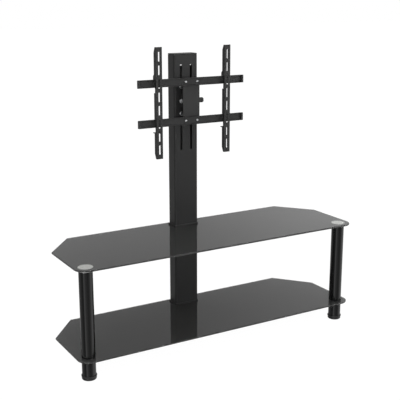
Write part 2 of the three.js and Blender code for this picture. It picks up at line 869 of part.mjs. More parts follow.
// A thumb screw that stands up behind the lower rail
function lockScrewGeometry() {
  const headTop = lockTabBottom - seatGap;
  const screw = lockScrewDiameter / 2;
  return turned(
    [
      [0, headTop - lockHeadHeight],
      [lockHeadDiameter / 2, headTop - lockHeadHeight],
      [lockHeadDiameter / 2, headTop],
      [screw, headTop],
      [screw, -railTop + lockScrewReach],
      [0, -railTop + lockScrewReach],
    ],
    boltSteps,
  );
}

function mountGroup() {
  const armY = railFront - armFront;
  const arms = { left: -armSpacing / 2, right: armSpacing / 2 };
  const tiltGroup = groupAt(
    0,
    -tiltReach,
    0,
    piece("tilt_bracket", tiltBracketGeometry(), satinBlack),
    piece("upper_rail", railGeometry(), satinBlack, [0, 0, railSpacing / 2]),
    piece("lower_rail", railGeometry(), satinBlack, [0, 0, -railSpacing / 2]),
    piece("tilt_bolt", tiltBoltGeometry(), zincSteel),
    piece("tilt_knob", knobGeometry(), blackPlastic),
    ...Object.entries(arms).flatMap(([side, x]) => [
      piece(`${side}_arm`, armGeometry(), satinBlack, [x, armY, 0]),
      piece(`${side}_lock_screw`, lockScrewGeometry(), zincSteel, [x, armY + lockScrewDepth, 0]),
    ]),
  );
  const swivelGroup = groupAt(
    0,
    -swivelReach,
    0,
    piece("swivel_pin", swivelPinGeometry(), zincSteel),
    piece("swivel_head", swivelHeadGeometry(), satinBlack),
    tiltGroup,
  );
  return groupAt(
    0,
    mastFront,
    mountHeight,
    piece("carriage_plate", carriageGeometry(), satinBlack),
    piece("clamp_plate", clampPlateGeometry(), zincSteel),
    ...Object.entries(clampPlaces).map(([place, [x, z]]) =>
      piece(`${place}_clamp_bolt`, clampBoltGeometry(), zincSteel, [x, 0, z]),
    ),
    swivelGroup,
  );
}

const upperShelf = shelfGeometry(columnBores);
const lowerShelf = shelfGeometry([...columnBores, ...legBores]);
const stand = groupAt(
  0,
  0,
  0,
  piece("upper_glass_shelf", upperShelf, blackGlass, [0, 0, upperShelfBottom]),
  piece("lower_glass_shelf", lowerShelf, blackGlass, [0, 0, lowerShelfBottom]),
  legGroup("left", -legX),
  legGroup("right", legX),
  columnGroup(),
  mountGroup(),
);
stand.name = "tv_stand_with_mount";

export default stand;
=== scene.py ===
# %% [markdown]
# # A glass shelf stand with a mount
#
# The real object is a piece of home furniture. Two black glass shelves stand on two round lacquered legs at
# the front and on one flat steel column at the rear. The column goes on as a mast, and a mount on the mast
# slides in height, swivels and tilts.
#
# The construction comes from the CAD model, so this lesson never moves or resizes a part. It gives each part
# the surface that the real one has: rounded arrises, ground glass, lacquer, powder coat, zinc and rubber.

# %% Load the construction
import json
import math

import bmesh
import bpy
from mathutils import Matrix, Vector

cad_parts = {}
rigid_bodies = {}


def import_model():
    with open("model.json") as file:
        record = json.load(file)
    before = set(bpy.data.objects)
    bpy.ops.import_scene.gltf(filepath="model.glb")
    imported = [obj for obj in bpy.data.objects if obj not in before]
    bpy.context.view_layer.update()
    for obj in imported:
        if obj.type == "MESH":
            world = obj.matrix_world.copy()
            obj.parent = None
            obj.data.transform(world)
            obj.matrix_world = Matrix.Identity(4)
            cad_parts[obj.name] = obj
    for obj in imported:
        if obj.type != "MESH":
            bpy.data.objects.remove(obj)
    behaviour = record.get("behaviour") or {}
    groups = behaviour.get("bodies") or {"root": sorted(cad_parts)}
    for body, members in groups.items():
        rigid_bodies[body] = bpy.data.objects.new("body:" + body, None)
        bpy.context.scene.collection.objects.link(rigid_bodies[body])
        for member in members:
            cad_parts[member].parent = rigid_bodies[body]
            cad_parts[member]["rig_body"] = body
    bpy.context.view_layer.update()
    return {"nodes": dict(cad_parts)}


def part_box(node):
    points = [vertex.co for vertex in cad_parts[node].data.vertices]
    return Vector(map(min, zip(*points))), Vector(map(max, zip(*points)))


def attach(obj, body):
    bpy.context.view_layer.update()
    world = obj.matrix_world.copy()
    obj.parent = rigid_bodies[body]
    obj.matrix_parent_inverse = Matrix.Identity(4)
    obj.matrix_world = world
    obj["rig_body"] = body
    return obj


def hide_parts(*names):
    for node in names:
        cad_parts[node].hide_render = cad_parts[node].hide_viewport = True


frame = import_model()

nodes = frame["nodes"]

# %% [markdown]
# ## The camera
#
# A product picture like this one is taken with a long lens from a little above the furniture, so that the
# shelves show as flat bands and upright lines stay nearly upright. The camera could be aimed with a tracking
# constraint. Plain numbers are clearer here, because the viewing angle is measured and never changes.

# %% Set up the camera
camera_place = (-1.5607, -2.6419, 1.3175)
camera_turn_degrees = (75.954, 0.05, -30.419)
camera_sensor = 36.0
camera_lens = 73.31


def new_object(name, data):
    """An object with its data, linked to the scene."""
    thing = bpy.data.objects.new(name, data)
    bpy.context.scene.collection.objects.link(thing)
    return thing


camera_data = bpy.data.cameras.new("product_camera")
camera_data.sensor_width = camera_sensor
camera_data.lens = camera_lens
camera = new_object("product_camera", camera_data)
camera.location = camera_place
camera.rotation_euler = [math.radians(angle) for angle in camera_turn_degrees]
bpy.context.scene.camera = camera
print("Camera lens in mm:", camera_data.lens)

# %% [markdown]
# ## Nodes
#
# The studio, the materials and some shapes are made of nodes. One helper makes a node and fills its inputs.
# An input takes a value, an output of another node, or that node itself, which means its first output. The
# links could be drawn one by one, but then each node would be spread over many lines.


# %% Helpers for nodes
def fill(tree, node, inputs):
    """Gives inputs of a node, by name or number, a value, an output, or the first output of a node."""
    for key, value in inputs.items():
        if isinstance(value, bpy.types.Node):
            value = next(socket for socket in value.outputs if socket.enabled)
        if isinstance(value, bpy.types.NodeSocket):
            tree.links.new(value, node.inputs[key])
        else:
            node.inputs[key].default_value = value


def add_node(tree, kind, inputs=None, **settings):
    """A new node with its settings and its inputs."""
    node = tree.nodes.new(kind)
    for key, value in settings.items():
        setattr(node, key, value)
    fill(tree, node, inputs or {})
    return node


def calculate(tree, operation, first, second=0.0, **settings):
    """A node that calculates with two numbers."""
    return add_node(tree, "ShaderNodeMath", {0: first, 1: second}, operation=operation, **settings)


def map_range(tree, value, start, end=(0.0, 1.0), **settings):
    """A node that turns numbers in one range into numbers in another."""
    inputs = {"Value": value, "From Min": start[0], "From Max": start[1], "To Min": end[0], "To Max": end[1]}
    return add_node(tree, "ShaderNodeMapRange", inputs, **settings)


def mix(tree, factor, first, second, kind="RGBA"):
    """A node that blends two colours, or two numbers where the kind is FLOAT."""
    return add_node(tree, "ShaderNodeMix", {"Factor": factor, "A": first, "B": second}, data_type=kind)


def grey(level):
    """A grey as a colour."""
    return (level, level, level, 1)


print("Node helpers ready")

# %% [markdown]
# ## The studio
#
# Black gloss has almost no colour of its own: it shows what stands around it. So the studio matters more than
# the paint. A ring of soft panels stands round the furniture: a bright one to the right, a strip to the
# left with a hard edge, a dark gap beside it, and a pale wall behind. A low strip of light in front evens
# out the satin steel. A world shader is the lightest way to build such a ring, because it costs no geometry:
# the compass direction of a ray picks a brightness from a colour ramp. An image of a real studio would do
# the same, but a ramp keeps every panel editable.

# %% List the soft panels
# Compass direction in degrees, 0 in front of the furniture and positive towards its left side; brightness.
studio_panels = [
    (-180, 0.62), (-164, 0.62), (-157, 0.53), (-152, 0.51), (-148, 0.59),
    (-141, 0.80), (-134, 0.88), (-116, 0.66), (-92, 0.75), (-56, 1.00),
    (-40, 0.56), (-22, 0.28), (-4, 0.18), (12, 0.30), (28, 0.40),
    (44, 0.70), (54, 1.00), (63, 1.00), (66, 0.16), (82, 0.16),
    (98, 0.22), (114, 0.32), (138, 0.38), (156, 0.36), (180, 0.62),
]
backdrop_brightness = 1.0
# Heights are the upward part of a ray's direction: 0 is level and 1 is straight up.
wall_fade = (0.26, 0.42)
upper_wall_share = 0.66
ceiling_fade = (0.42, 0.66)
ceiling_brightness = 0.95
low_strip_brightness = 5.2
low_strip_top = 0.095
strip_edge = 0.006
strip_end_fade = (0.35, 0.7)
print("Studio panels:", len(studio_panels))

# %% Build the ring, the ceiling and the low strip
world = bpy.data.worlds.new("soft_studio")
bpy.context.scene.world = world
world.use_nodes = True
sky = world.node_tree
sky.nodes.clear()

direction = add_node(sky, "ShaderNodeTexCoord").outputs["Generated"]
ray = add_node(sky, "ShaderNodeSeparateXYZ", {0: direction}).outputs
leftward = calculate(sky, "MULTIPLY", ray["X"], -1.0)
forward = calculate(sky, "MULTIPLY", ray["Y"], -1.0)
compass = calculate(sky, "ARCTAN2", leftward, forward)
ring = add_node(sky, "ShaderNodeValToRGB", {"Fac": map_range(sky, compass, (-math.pi, math.pi))})
stops = ring.color_ramp.elements
stops[0].color = grey(studio_panels[0][1])
stops[1].color = grey(studio_panels[-1][1])
for degrees, brightness in studio_panels[1:-1]:
    stops.new((degrees + 180) / 360).color = grey(brightness)

wall_share = map_range(sky, ray["Z"], wall_fade, (1.0, upper_wall_share))
wall = add_node(sky, "ShaderNodeVectorMath", {"Vector": ring, "Scale": wall_share}, operation="SCALE")
ceiling_share = map_range(sky, ray["Z"], ceiling_fade, interpolation_type="SMOOTHSTEP")
overhead = mix(sky, ceiling_share, wall, grey(ceiling_brightness))
strip_start = map_range(sky, ray["Z"], (-strip_edge, strip_edge))
strip_stop = map_range(sky, ray["Z"], (low_strip_top - strip_edge, low_strip_top + strip_edge), (1.0, 0.0))
strip_ends = map_range(sky, forward, strip_end_fade, (0.0, low_strip_brightness))
strip = calculate(sky, "MULTIPLY", calculate(sky, "MULTIPLY", strip_start, strip_stop), strip_ends)
with_strip = add_node(sky, "ShaderNodeVectorMath", {0: overhead, 1: strip}, operation="ADD")
seen = add_node(sky, "ShaderNodeLightPath").outputs["Is Camera Ray"]
shown = mix(sky, seen, with_strip, grey(backdrop_brightness))
add_node(sky, "ShaderNodeOutputWorld", {"Surface": add_node(sky, "ShaderNodeBackground", {"Color": shown})})
print("Stops on the ring:", len(stops))

# %% [markdown]
# The one lamp is a very large soft box. It stands high behind the camera, lifts the front faces a little and
# draws the faint shadows on the floor. It doesn't show in gloss, because the shelves would mirror it as a
# white sheet with a hard edge when one looks from behind. Small lamps would put hard bright points on the
# glass.

# %% Hang the soft box
box_place = Vector((-2.8, -5.0, 3.4))
box_target = Vector((0.0, 0.0, 0.3))
box_width = 5.0
box_depth = 3.4
box_watts = 110.0

lamp_data = bpy.data.lights.new("front_box", "AREA")
lamp_data.shape = "RECTANGLE"
lamp_data.size = box_width
lamp_data.size_y = box_depth
lamp_data.energy = box_watts
lamp = new_object("front_box", lamp_data)
lamp.location = box_place
lamp.rotation_euler = (box_target - box_place).to_track_quat("-Z", "Y").to_euler()
lamp.visible_glossy = False
bpy.context.scene.view_settings.view_transform = "Standard"
print("Lamp in watts:", box_watts)

# %% [markdown]
# The floor is a plain pale sheet. It gives off a little light of its own, as an evenly lit table of opal
# glass does, so that it stays white and the shadows stay soft. It neither shows in gloss nor lights the dull
# faces, so that the dark parts show the ring of panels instead, as in the picture.

# %% Lay the floor
floor_reach = 30.0
floor_glow = 0.985
floor_grey = 0.06
floor_roughness = 0.9


def new_material(name):
    """A material, its node tree and its shader."""
    material = bpy.data.materials.new(name)
    material.use_nodes = True
    return material, material.node_tree, material.node_tree.nodes["Principled BSDF"]


floor_mesh = bpy.data.meshes.new("floor")
floor_signs = [(-1, -1), (1, -1), (1, 1), (-1, 1)]
floor_mesh.from_pydata([(x * floor_reach, y * floor_reach, 0) for x, y in floor_signs], [], [(0, 1, 2, 3)])
floor = new_object("floor", floor_mesh)
floor.visible_glossy = False
floor.visible_diffuse = False
floor_paint, tree, shader = new_material("pale_floor")
fill(tree, shader, {"Base Color": grey(floor_grey), "Roughness": floor_roughness, "Specular IOR Level": 0.0})
fill(tree, shader, {"Emission Color": grey(1), "Emission Strength": floor_glow})
floor_mesh.materials.append(floor_paint)
print("Floor reach in metres:", floor_reach)

# %% [markdown]
# ## Shared surface effects
#
# Real surfaces are never even. Powder coat has a fine pebbled skin, lacquer has orange peel, handled parts
# have patches that shine a little more, and edges lose their coat first. Each effect is one node group with
# named inputs, so that every material can use it with values of its own. Copying the nodes into each
# material would work too, but then one correction would have to be made many times.

# %% Start the node groups
socket_kinds = {1: "NodeSocketFloat", 3: "NodeSocketVector", 4: "NodeSocketColor"}


def spaced(values):
    """Values by name, with the underscores of the names turned to blanks."""
    return {label.replace("_", " "): value for label, value in values.items()}


def new_group(name, output, kind="Float", **inputs):
    """A shader node group and the outputs of its start node. The default of an input tells its kind."""
    group = bpy.data.node_groups.new(name, "ShaderNodeTree")
    for label, value in spaced({"Vector": (0, 0, 0), **inputs}).items():
        count = 1 if isinstance(value, float) else len(value)
        socket = group.interface.new_socket(label, in_out="INPUT", socket_type=socket_kinds[count])
        socket.default_value = value
    group.interface.new_socket(output, in_out="OUTPUT", socket_type="NodeSocket" + kind)
    print("Group:", name)
    return group, group.nodes.new("NodeGroupInput").outputs


def noise(tree, place, **values):
    """A noise pattern at a place."""
    return add_node(tree, "ShaderNodeTexNoise", {"Vector": place, **spaced(values)})


# %% Pebbled skin: a height for the bump of lacquer, powder and moulded plastic
wave_share = 0.13
pebble_group, given = new_group("pebbled_skin", "Height", Pebbles_per_metre=1500.0, Waviness=0.3)
pebbles = noise(pebble_group, given["Vector"], Scale=given["Pebbles per metre"], Detail=3.0, Roughness=0.55)
wave_scale = calculate(pebble_group, "MULTIPLY", given["Pebbles per metre"], wave_share)
waves = noise(pebble_group, given["Vector"], Scale=wave_scale, Detail=1.0)
height = mix(pebble_group, given["Waviness"], pebbles, waves, "FLOAT")
add_node(pebble_group, "NodeGroupOutput", {"Height": height})

# %% Handled patches: a roughness that drifts in large soft patches
patch_contrast = (0.32, 0.68)
patch_group, given = new_group("handled_patches", "Roughness", Patches_per_metre=9.0, Smooth=0.3, Dull=0.4)
patch_look = {"Detail": 4.0, "Roughness": 0.6, "Distortion": 0.4}
patches = noise(patch_group, given["Vector"], Scale=given["Patches per metre"], **patch_look)
roughness = map_range(patch_group, patches, patch_contrast, (given["Smooth"], given["Dull"]))
add_node(patch_group, "NodeGroupOutput", {"Roughness": roughness})

# %% Worn edges: a colour that is rubbed paler where the mark on the mesh's edges says so
chip_contrast = (0.42, 0.62)
wear_group, given = new_group(
    "worn_edges", "Color", "Color", Edge=0.0, Amount=0.4, Color=grey(0.02), Rubbed_Color=grey(0.1)
)
chips = noise(wear_group, given["Vector"], Scale=160.0, Detail=5.0, Roughness=0.65)
on_edge = calculate(wear_group, "MULTIPLY", map_range(wear_group, chips, chip_contrast), given["Edge"])
strength = calculate(wear_group, "MULTIPLY", on_edge, given["Amount"], use_clamp=True)
rubbed = mix(wear_group, strength, given["Color"], given["Rubbed Color"])
add_node(wear_group, "NodeGroupOutput", {"Color": rubbed})

# %% Settled dust: a faint pale film on faces that look up
dust_color = (0.32, 0.31, 0.29, 1)
speck_contrast = (0.5, 0.75)
dust_group, given = new_group(
    "settled_dust", "Color", "Color", Normal=(0, 0, 1), Amount=0.1, Color=grey(0.02)
)
specks = noise(dust_group, given["Vector"], Scale=900.0, Detail=2.0)
facing = add_node(dust_group, "ShaderNodeSeparateXYZ", {0: given["Normal"]}).outputs["Z"]
upward = calculate(dust_group, "MAXIMUM", facing, 0.0)
film = calculate(dust_group, "MULTIPLY", upward, map_range(dust_group, specks, speck_contrast))
amount = calculate(dust_group, "MULTIPLY", film, given["Amount"])
add_node(dust_group, "NodeGroupOutput", {"Color": mix(dust_group, amount, given["Color"], dust_color)})

# %% [markdown]
# ## The materials
#
# One function gives a finish its shine and its skin, and a second one adds light wear and dust. The finishes
# differ only in numbers: how dark, how glossy, how pebbled, how much worn and dusty. Each number that is the
# same all over goes straight onto the shader. What changes over the surface comes from the groups.


# %% Functions for finishes
def use(tree, group, place, **values):
    """A node that uses one of the shared groups at a place, with values of its own."""
    return add_node(tree, "ShaderNodeGroup", {"Vector": place, **spaced(values)}, node_tree=group)


def textured(name, smooth, dull, pebbles, depth, waviness=0.3, patches=9.0, **shader_values):
    """A finish with a range of roughness and a bump, and with plain values on its shader."""
    material, tree, shader = new_material(name)
    place = add_node(tree, "ShaderNodeTexCoord").outputs["Object"]
    shine = use(tree, patch_group, place, Patches_per_metre=patches, Smooth=smooth, Dull=dull)
    skin = use(tree, pebble_group, place, Pebbles_per_metre=pebbles, Waviness=waviness)
    bump = add_node(tree, "ShaderNodeBump", {"Height": skin, "Distance": depth, "Strength": 1.0})
    fill(tree, shader, {"Roughness": shine, "Normal": bump, **spaced(shader_values)})
    return material


def coated(name, tone, rubbed, wear, dust, **look):
    """A dark finish with its grey, its grey where rubbed, light wear on its edges, and dust on top."""
    material = textured(name, **look)
    tree = material.node_tree
    where = add_node(tree, "ShaderNodeTexCoord").outputs
    place = where["Object"]
    edge = add_node(tree, "ShaderNodeAttribute", attribute_name="worn").outputs["Fac"]
    worn = use(tree, wear_group, place, Edge=edge, Amount=wear, Color=grey(tone), Rubbed_Color=grey(rubbed))
    dusty = use(tree, dust_group, place, Normal=where["Normal"], Amount=dust, Color=worn)
    fill(tree, tree.nodes["Principled BSDF"], {"Base Color": dusty})
    return material


print("Finish functions ready")

# %% [markdown]
# The legs carry a gloss black lacquer with a faint orange peel. The column, the mast and the base carry a
# satin powder coat. The mount has a coarser, duller powder. The small mouldings are plastic and the gaskets
# and pads are rubber. The black print under the glass is even, so it gets neither wear nor dust. Under the
# lower shelf the same print is painted a lighter grey than under the upper one. This is painted light that
# makes up for the shade that the upper shelf casts on it.

# %% Mix the dark finishes
lacquer_look = {"smooth": 0.03, "dull": 0.06, "pebbles": 260.0, "depth": 0.00001, "IOR": 1.5}
satin_look = {"smooth": 0.32, "dull": 0.42, "pebbles": 1400.0, "depth": 0.00005, "Specular_IOR_Level": 0.3}
coarse_look = {"smooth": 0.46, "dull": 0.58, "pebbles": 900.0, "depth": 0.00012, "IOR": 1.45}
plastic_look = {"smooth": 0.34, "dull": 0.46, "pebbles": 2600.0, "depth": 0.00003, "waviness": 0.1}
rubber_look = {"smooth": 0.70, "dull": 0.82, "pebbles": 2000.0, "depth": 0.00005, "waviness": 0.4}
print_look = {"smooth": 0.5, "dull": 0.6, "pebbles": 3000.0, "depth": 0.00001, "Specular_IOR_Level": 0.15}

gloss_lacquer = coated("gloss_lacquer", tone=0.007, rubbed=0.03, wear=0.2, dust=0.02, **lacquer_look)
satin_powder = coated("satin_powder", tone=0.019, rubbed=0.06, wear=0.12, dust=0.05, **satin_look)
coarse_powder = coated("coarse_powder", tone=0.018, rubbed=0.07, wear=0.4, dust=0.08, **coarse_look)
moulded_plastic = coated("moulded_plastic", tone=0.016, rubbed=0.04, wear=0.25, dust=0.06, **plastic_look)
soft_rubber = coated("soft_rubber", tone=0.014, rubbed=0.02, wear=0.1, dust=0.12, **rubber_look)
upper_print = textured("upper_glass_coat", **print_look, Base_Color=grey(0.077))
# The lower coat is the same print as the upper one, painted lighter: painted light against the shade under
# the upper shelf.
lower_print_painted_light = textured("lower_glass_coat_painted_light", **print_look, Base_Color=grey(0.094))
print("Dark finishes:", gloss_lacquer.name, satin_powder.name, coarse_powder.name, moulded_plastic.name)

# %% [markdown]
# Zinc plating is a crystalline metal film: bright, slightly blue, with a mottled shine. Metal has no colour
# under its gloss, so the mottling goes into the roughness and, very weakly, into the tint.

# %% Plate the zinc
bluish_zinc = (0.50, 0.52, 0.56, 1)
pale_zinc = (0.62, 0.62, 0.60, 1)
zinc_look = {"smooth": 0.24, "dull": 0.40, "pebbles": 3200.0, "depth": 0.00003}


def make_zinc():
    """Bright zinc plating with a mottled shine and a fine drawn grain."""
    material = textured("bright_zinc", **zinc_look, waviness=0.2, patches=60.0, Metallic=1.0)
    tree = material.node_tree
    place = add_node(tree, "ShaderNodeTexCoord").outputs["Object"]
    crystals = add_node(tree, "ShaderNodeTexVoronoi", {"Vector": place, "Scale": 420.0}).outputs["Color"]
    tint = mix(tree, crystals, bluish_zinc, pale_zinc)
    fill(tree, tree.nodes["Principled BSDF"], {"Base Color": tint})
    return material


bright_zinc = make_zinc()
print("Metal finish:", bright_zinc.name)

# %% [markdown]
# The silver discs under the glass are faced on a lathe, which leaves hair-fine rings round the middle, and
# their rim is polished. The rings need the distance from the disc's own axis, so each side has its own
# material: a Mapping node moves the pattern to the axis of its leg. The direction of a face tells the rim
# from the face.

# %% Face the discs
silver_line = (0.90, 0.90, 0.89, 1)
silver_ridge = (0.98, 0.98, 0.97, 1)
rim_roughness = 0.12
rim_to_face = (0.3, 0.8)
ring_look = {"Scale": 300.0, "Distortion": 0.6, "Detail": 2.0, "Detail Scale": 0.5}


def turned_silver(name, centre):
    """A satin silver face with fine rings round the upright axis through centre, and a polished rim."""
    material, tree, shader = new_material(name)
    where = add_node(tree, "ShaderNodeTexCoord").outputs
    to_axis = (-centre[0], -centre[1], 0)
    moved = add_node(tree, "ShaderNodeMapping", {"Vector": where["Object"], "Location": to_axis})
    wave = add_node(tree, "ShaderNodeTexWave", {"Vector": moved, **ring_look}, wave_type="RINGS")
    wave.rings_direction = "Z"
    rings = wave.outputs["Fac"]
    tone = mix(tree, rings, silver_line, silver_ridge)
    shine = use(tree, patch_group, where["Object"], Patches_per_metre=40.0, Smooth=0.40, Dull=0.50)
    facing = add_node(tree, "ShaderNodeSeparateXYZ", {0: where["Normal"]}).outputs["Z"]
    on_face = map_range(tree, calculate(tree, "ABSOLUTE", facing), rim_to_face)
    polish = mix(tree, on_face, rim_roughness, shine, "FLOAT")
    bump = add_node(tree, "ShaderNodeBump", {"Height": rings, "Distance": 0.00001})
    fill(tree, shader, {"Base Color": tone, "Metallic": 0.7, "Roughness": polish, "Normal": bump})
    return material


print("Roughness of the polished rim:", rim_roughness)

# %% [markdown]
# The shelves are clear float glass with a black coat printed on the underside. Most of what shows is
# mirrored by the upper face, which grows brighter the flatter one looks across it. A plain black gloss
# would look alike from afar, but real glass gives the lit edge and the depth over the discs for free.

# %% Pour the glass
green_glass = (0.885, 0.895, 0.875, 1)
clear_glass = (0.92, 0.925, 0.905, 1)


def make_glass():
    """Clear float glass with a faint green-grey body and a trace of wiping marks."""
    material, tree, shader = new_material("float_glass")
    place = add_node(tree, "ShaderNodeTexCoord").outputs["Object"]
    tint = mix(tree, noise(tree, place, Scale=3.0, Detail=1.0), green_glass, clear_glass)
    wiped = use(tree, patch_group, place, Patches_per_metre=14.0, Smooth=0.0, Dull=0.03)
    fill(tree, shader, {"Base Color": tint, "Roughness": wiped, "Transmission Weight": 1.0, "IOR": 1.52})
    return material


float_glass = make_glass()
print("Glass:", float_glass.name)

# %% [markdown]
# ## Helpers for shapes
#
# Nearly every piece here is one of three kinds: a flat plate with an outline, a turned piece with a profile,
# or a bent sheet that the CAD model already has. The first two are built from the same idea: a list of
# corners, each with the radius that rounds it. Modifiers could bevel a plain extrusion instead, but rings
# that are set by hand stay even all the way round a hole or a tight corner.


# %% Round the corners of an outline
def rounded(corners, steps=6):
    """The points of a closed outline: corners are (across, up, radius), and a radius becomes an arc."""
    points = []
    for index, (x, y, radius) in enumerate(corners):
        corner = Vector((x, y))
        if radius <= 0:
            points.append(corner)
            continue
        before = (Vector(corners[index - 1][:2]) - corner).normalized()
        after = (Vector(corners[(index + 1) % len(corners)][:2]) - corner).normalized()
        half = before.angle(after) / 2
        middle = corner + (before + after).normalized() * (radius / math.sin(half))
        start = corner + before * (radius / math.tan(half)) - middle
        sweep = start.angle_signed(corner + after * (radius / math.tan(half)) - middle)
        for step in range(steps + 1):
            points.append(middle + Matrix.Rotation(-sweep * step / steps, 2) @ start)
    return points


def circle(x, y, radius, steps=48):
    """The points of a circle, counterclockwise."""
    angles = [2 * math.pi * step / steps for step in range(steps)]
    return [Vector((x + radius * math.cos(a), y + radius * math.sin(a))) for a in angles]


print("Rounded square:", len(rounded([(0, 0, 0.1), (1, 0, 0.1), (1, 1, 0.1), (0, 1, 0.1)])), "points")

# %% Build a plate
sharpest_lean = 0.3


def inset(points, distance):
    """The outline moved to its left by distance, each point along its own mitre."""
    moved = []
    for index, point in enumerate(points):
        into = (point - points[index - 1]).normalized()
        out_of = (points[(index + 1) % len(points)] - point).normalized()
        left = Vector((-into.y - out_of.y, into.x + out_of.x)).normalized()
        lean = left.dot(Vector((-into.y, into.x)))
        moved.append(point + left * (distance / max(lean, sharpest_lean)))
    return moved


def to_mesh(name, build):
    """The mesh of a build, which is freed."""
    mesh = bpy.data.meshes.new(name)
    build.to_mesh(mesh)
    build.free()
    return mesh


def plate_mesh(name, outer, holes, bottom, top, edge, steps=3):
    """A closed plate from bottom to top. Its outline is counterclockwise, and edge rounds every arris."""
    build = bmesh.new()
    levels = []
    for step in range(steps + 1):
        angle = math.pi / 2 * step / steps
        levels.append((edge * (1 - math.sin(angle)), bottom + edge * (1 - math.cos(angle))))
    levels += [(shift, bottom + top - z) for shift, z in reversed(levels)]
    bottom_rims, top_rims = [], []
    for loop in [outer] + [list(reversed(hole)) for hole in holes]:
        rings = []
        for shift, z in levels:
            rings.append([build.verts.new((p.x, p.y, z)) for p in inset(loop, shift)])
        for lower, upper in zip(rings, rings[1:]):
            for index in range(len(loop)):
                after = (index + 1) % len(loop)
                build.faces.new((lower[index], lower[after], upper[after], upper[index])).smooth = True
        for rims, ring_verts in ((bottom_rims, rings[0]), (top_rims, rings[-1])):
            for index, vert in enumerate(ring_verts):
                rims.append(build.edges.get((vert, ring_verts[(index + 1) % len(ring_verts)])))
    for rims in (bottom_rims, top_rims):
        bmesh.ops.triangle_fill(build, use_beauty=True, use_dissolve=False, edges=rims)
    bmesh.ops.recalc_face_normals(build, faces=build.faces)
    return to_mesh(name, build)


print("Plate helper ready")

# %% Build a turned piece
UPRIGHT = Matrix.Identity(4)
ALONG_Y = Matrix.Rotation(math.radians(-90), 4, "X")
ALONG_X = Matrix.Rotation(math.radians(90), 4, "Y")
on_axis = 1e-7


def skinned(name, rings, place=UPRIGHT):
    """A closed mesh over rings of points. A ring of one point is a pole. The last ring meets the first."""
    build = bmesh.new()
    verts = [[build.verts.new(point) for point in ring_points] for ring_points in rings]
    steps = max(len(ring_verts) for ring_verts in verts)
    for lower, upper in zip(verts, verts[1:] + verts[:1]):
        if len(lower) == 1 and len(upper) == 1:
            continue
        for step in range(steps):
            after = (step + 1) % steps
            around = [lower[step % len(lower)], lower[after % len(lower)]]
            around += [upper[after % len(upper)], upper[step % len(upper)]]
            build.faces.new(dict.fromkeys(around))
    bmesh.ops.recalc_face_normals(build, faces=build.faces)
    build.transform(place)
    return to_mesh(name, build)


def turned_mesh(name, corners, steps=64, place=UPRIGHT, arc_steps=4):
    """A closed turned piece: corners are (radius, height, rounding), and those on the axis close it."""
    rings = []
    for point in rounded(corners, arc_steps):
        if point.x < on_axis:
            rings.append([(0, 0, point.y)])
            continue
        rings.append([(p.x, p.y, point.y) for p in circle(0, 0, point.x, steps)])
    return skinned(name, rings, place)


print("Turned piece helper ready")

# %% [markdown]
# Every finished mesh gets the same last touches: edges that are sharper than a limit stay crisp, and the rest
# is smooth. The narrow strips along the arrises get a mark, which the worn_edges group reads. Then the piece
# is tied to the body that it moves with, and the CAD nodes that it replaces are hidden.

# %% Finish a piece
crease_angle = math.radians(38)
strip_width = 0.0009


def mark_edges(mesh):
    """Writes 1 on the points that lie only on narrow strips, which are the rounded arrises, else 0."""
    narrow = [True] * len(mesh.vertices)
    for face in mesh.polygons:
        corners = [mesh.vertices[index].co for index in face.vertices]
        sides = [(a - b).length for a, b in zip(corners, corners[1:] + corners[:1])]
        if face.area / max(sides) > strip_width:
            for index in face.vertices:
                narrow[index] = False
    mark = mesh.attributes.new("worn", "FLOAT", "POINT")
    mark.data.foreach_set("value", [float(flag) for flag in narrow])


def baked(thing):
    """The mesh of an object with its modifiers applied, which are then removed."""
    bpy.context.view_layer.update()
    graph = bpy.context.evaluated_depsgraph_get()
    mesh = bpy.data.meshes.new_from_object(thing.evaluated_get(graph), depsgraph=graph)
    thing.modifiers.clear()
    return mesh


def add_piece(name, mesh, material, *cad_nodes, replaces=True):
    """Links a mesh as a piece on the body of its CAD nodes, which it replaces or only goes with."""
    mesh.name = name
    mesh.materials.clear()
    mesh.materials.append(material)
    for face in mesh.polygons:
        face.use_smooth = True
    mesh.set_sharp_from_angle(angle=crease_angle)
    mark_edges(mesh)
    piece = new_object(name, mesh)
    piece.modifiers.new("even_shading", "WEIGHTED_NORMAL").keep_sharp = True
    piece.data = baked(piece)
    bpy.data.meshes.remove(mesh)
    piece.data.name = name
    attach(piece, nodes[cad_nodes[0]]["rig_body"])
    if replaces:
        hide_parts(*cad_nodes)


# %% [markdown]
# Some CAD nodes already have the right shape, such as bent sheets with slots. Their meshes are loose
# triangles with knife-sharp edges, and no real sheet has those. A copy is merged, its flat faces are joined
# again, and a bevel modifier rounds its edges by the few tenths of a millimetre that catch the light.

# %% Refine a copy of a CAD node
weld_distance = 0.000002
flat_angle = math.radians(0.5)
bevel_angle = math.radians(50)


def refine_piece(name, node, width, material, segments=2):
    """A copy of a CAD node with flat faces joined and sharp edges rounded by width, which replaces it."""
    build = bmesh.new()
    build.from_mesh(nodes[node].data)
    bmesh.ops.remove_doubles(build, verts=build.verts, dist=weld_distance)
    bmesh.ops.dissolve_limit(build, angle_limit=flat_angle, verts=build.verts, edges=build.edges)
    mesh = to_mesh(node + "_copy", build)
    thing = new_object(node + "_copy", mesh)
    round_off = thing.modifiers.new("round_off", "BEVEL")
    round_off.width = width
    round_off.segments = segments
    round_off.limit_method = "ANGLE"
    round_off.angle_limit = bevel_angle
    round_off.loop_slide = False
    finer = baked(thing)
    bpy.data.objects.remove(thing)
    bpy.data.meshes.remove(mesh)
    add_piece(name, finer, material, node)


def dress(material, *names):
    """Gives a finish to CAD nodes that keep their own mesh, such as the plugs inside the tubes."""
    for name in names:
        nodes[name].data.materials.clear()
        nodes[name].data.materials.append(material)


print("Bevel from an angle in degrees:", round(math.degrees(bevel_angle)))

# %% [markdown]
# ## Geometry Nodes for what repeats
#
# Screws, threads, ribs and tubes follow a rule, so a rule makes them: each tree below has its sizes as named
# inputs. Python loops could place the copies too, but a tree can be opened and tuned in the editor. The
# result is turned into a plain mesh at once, because an export drops instances.


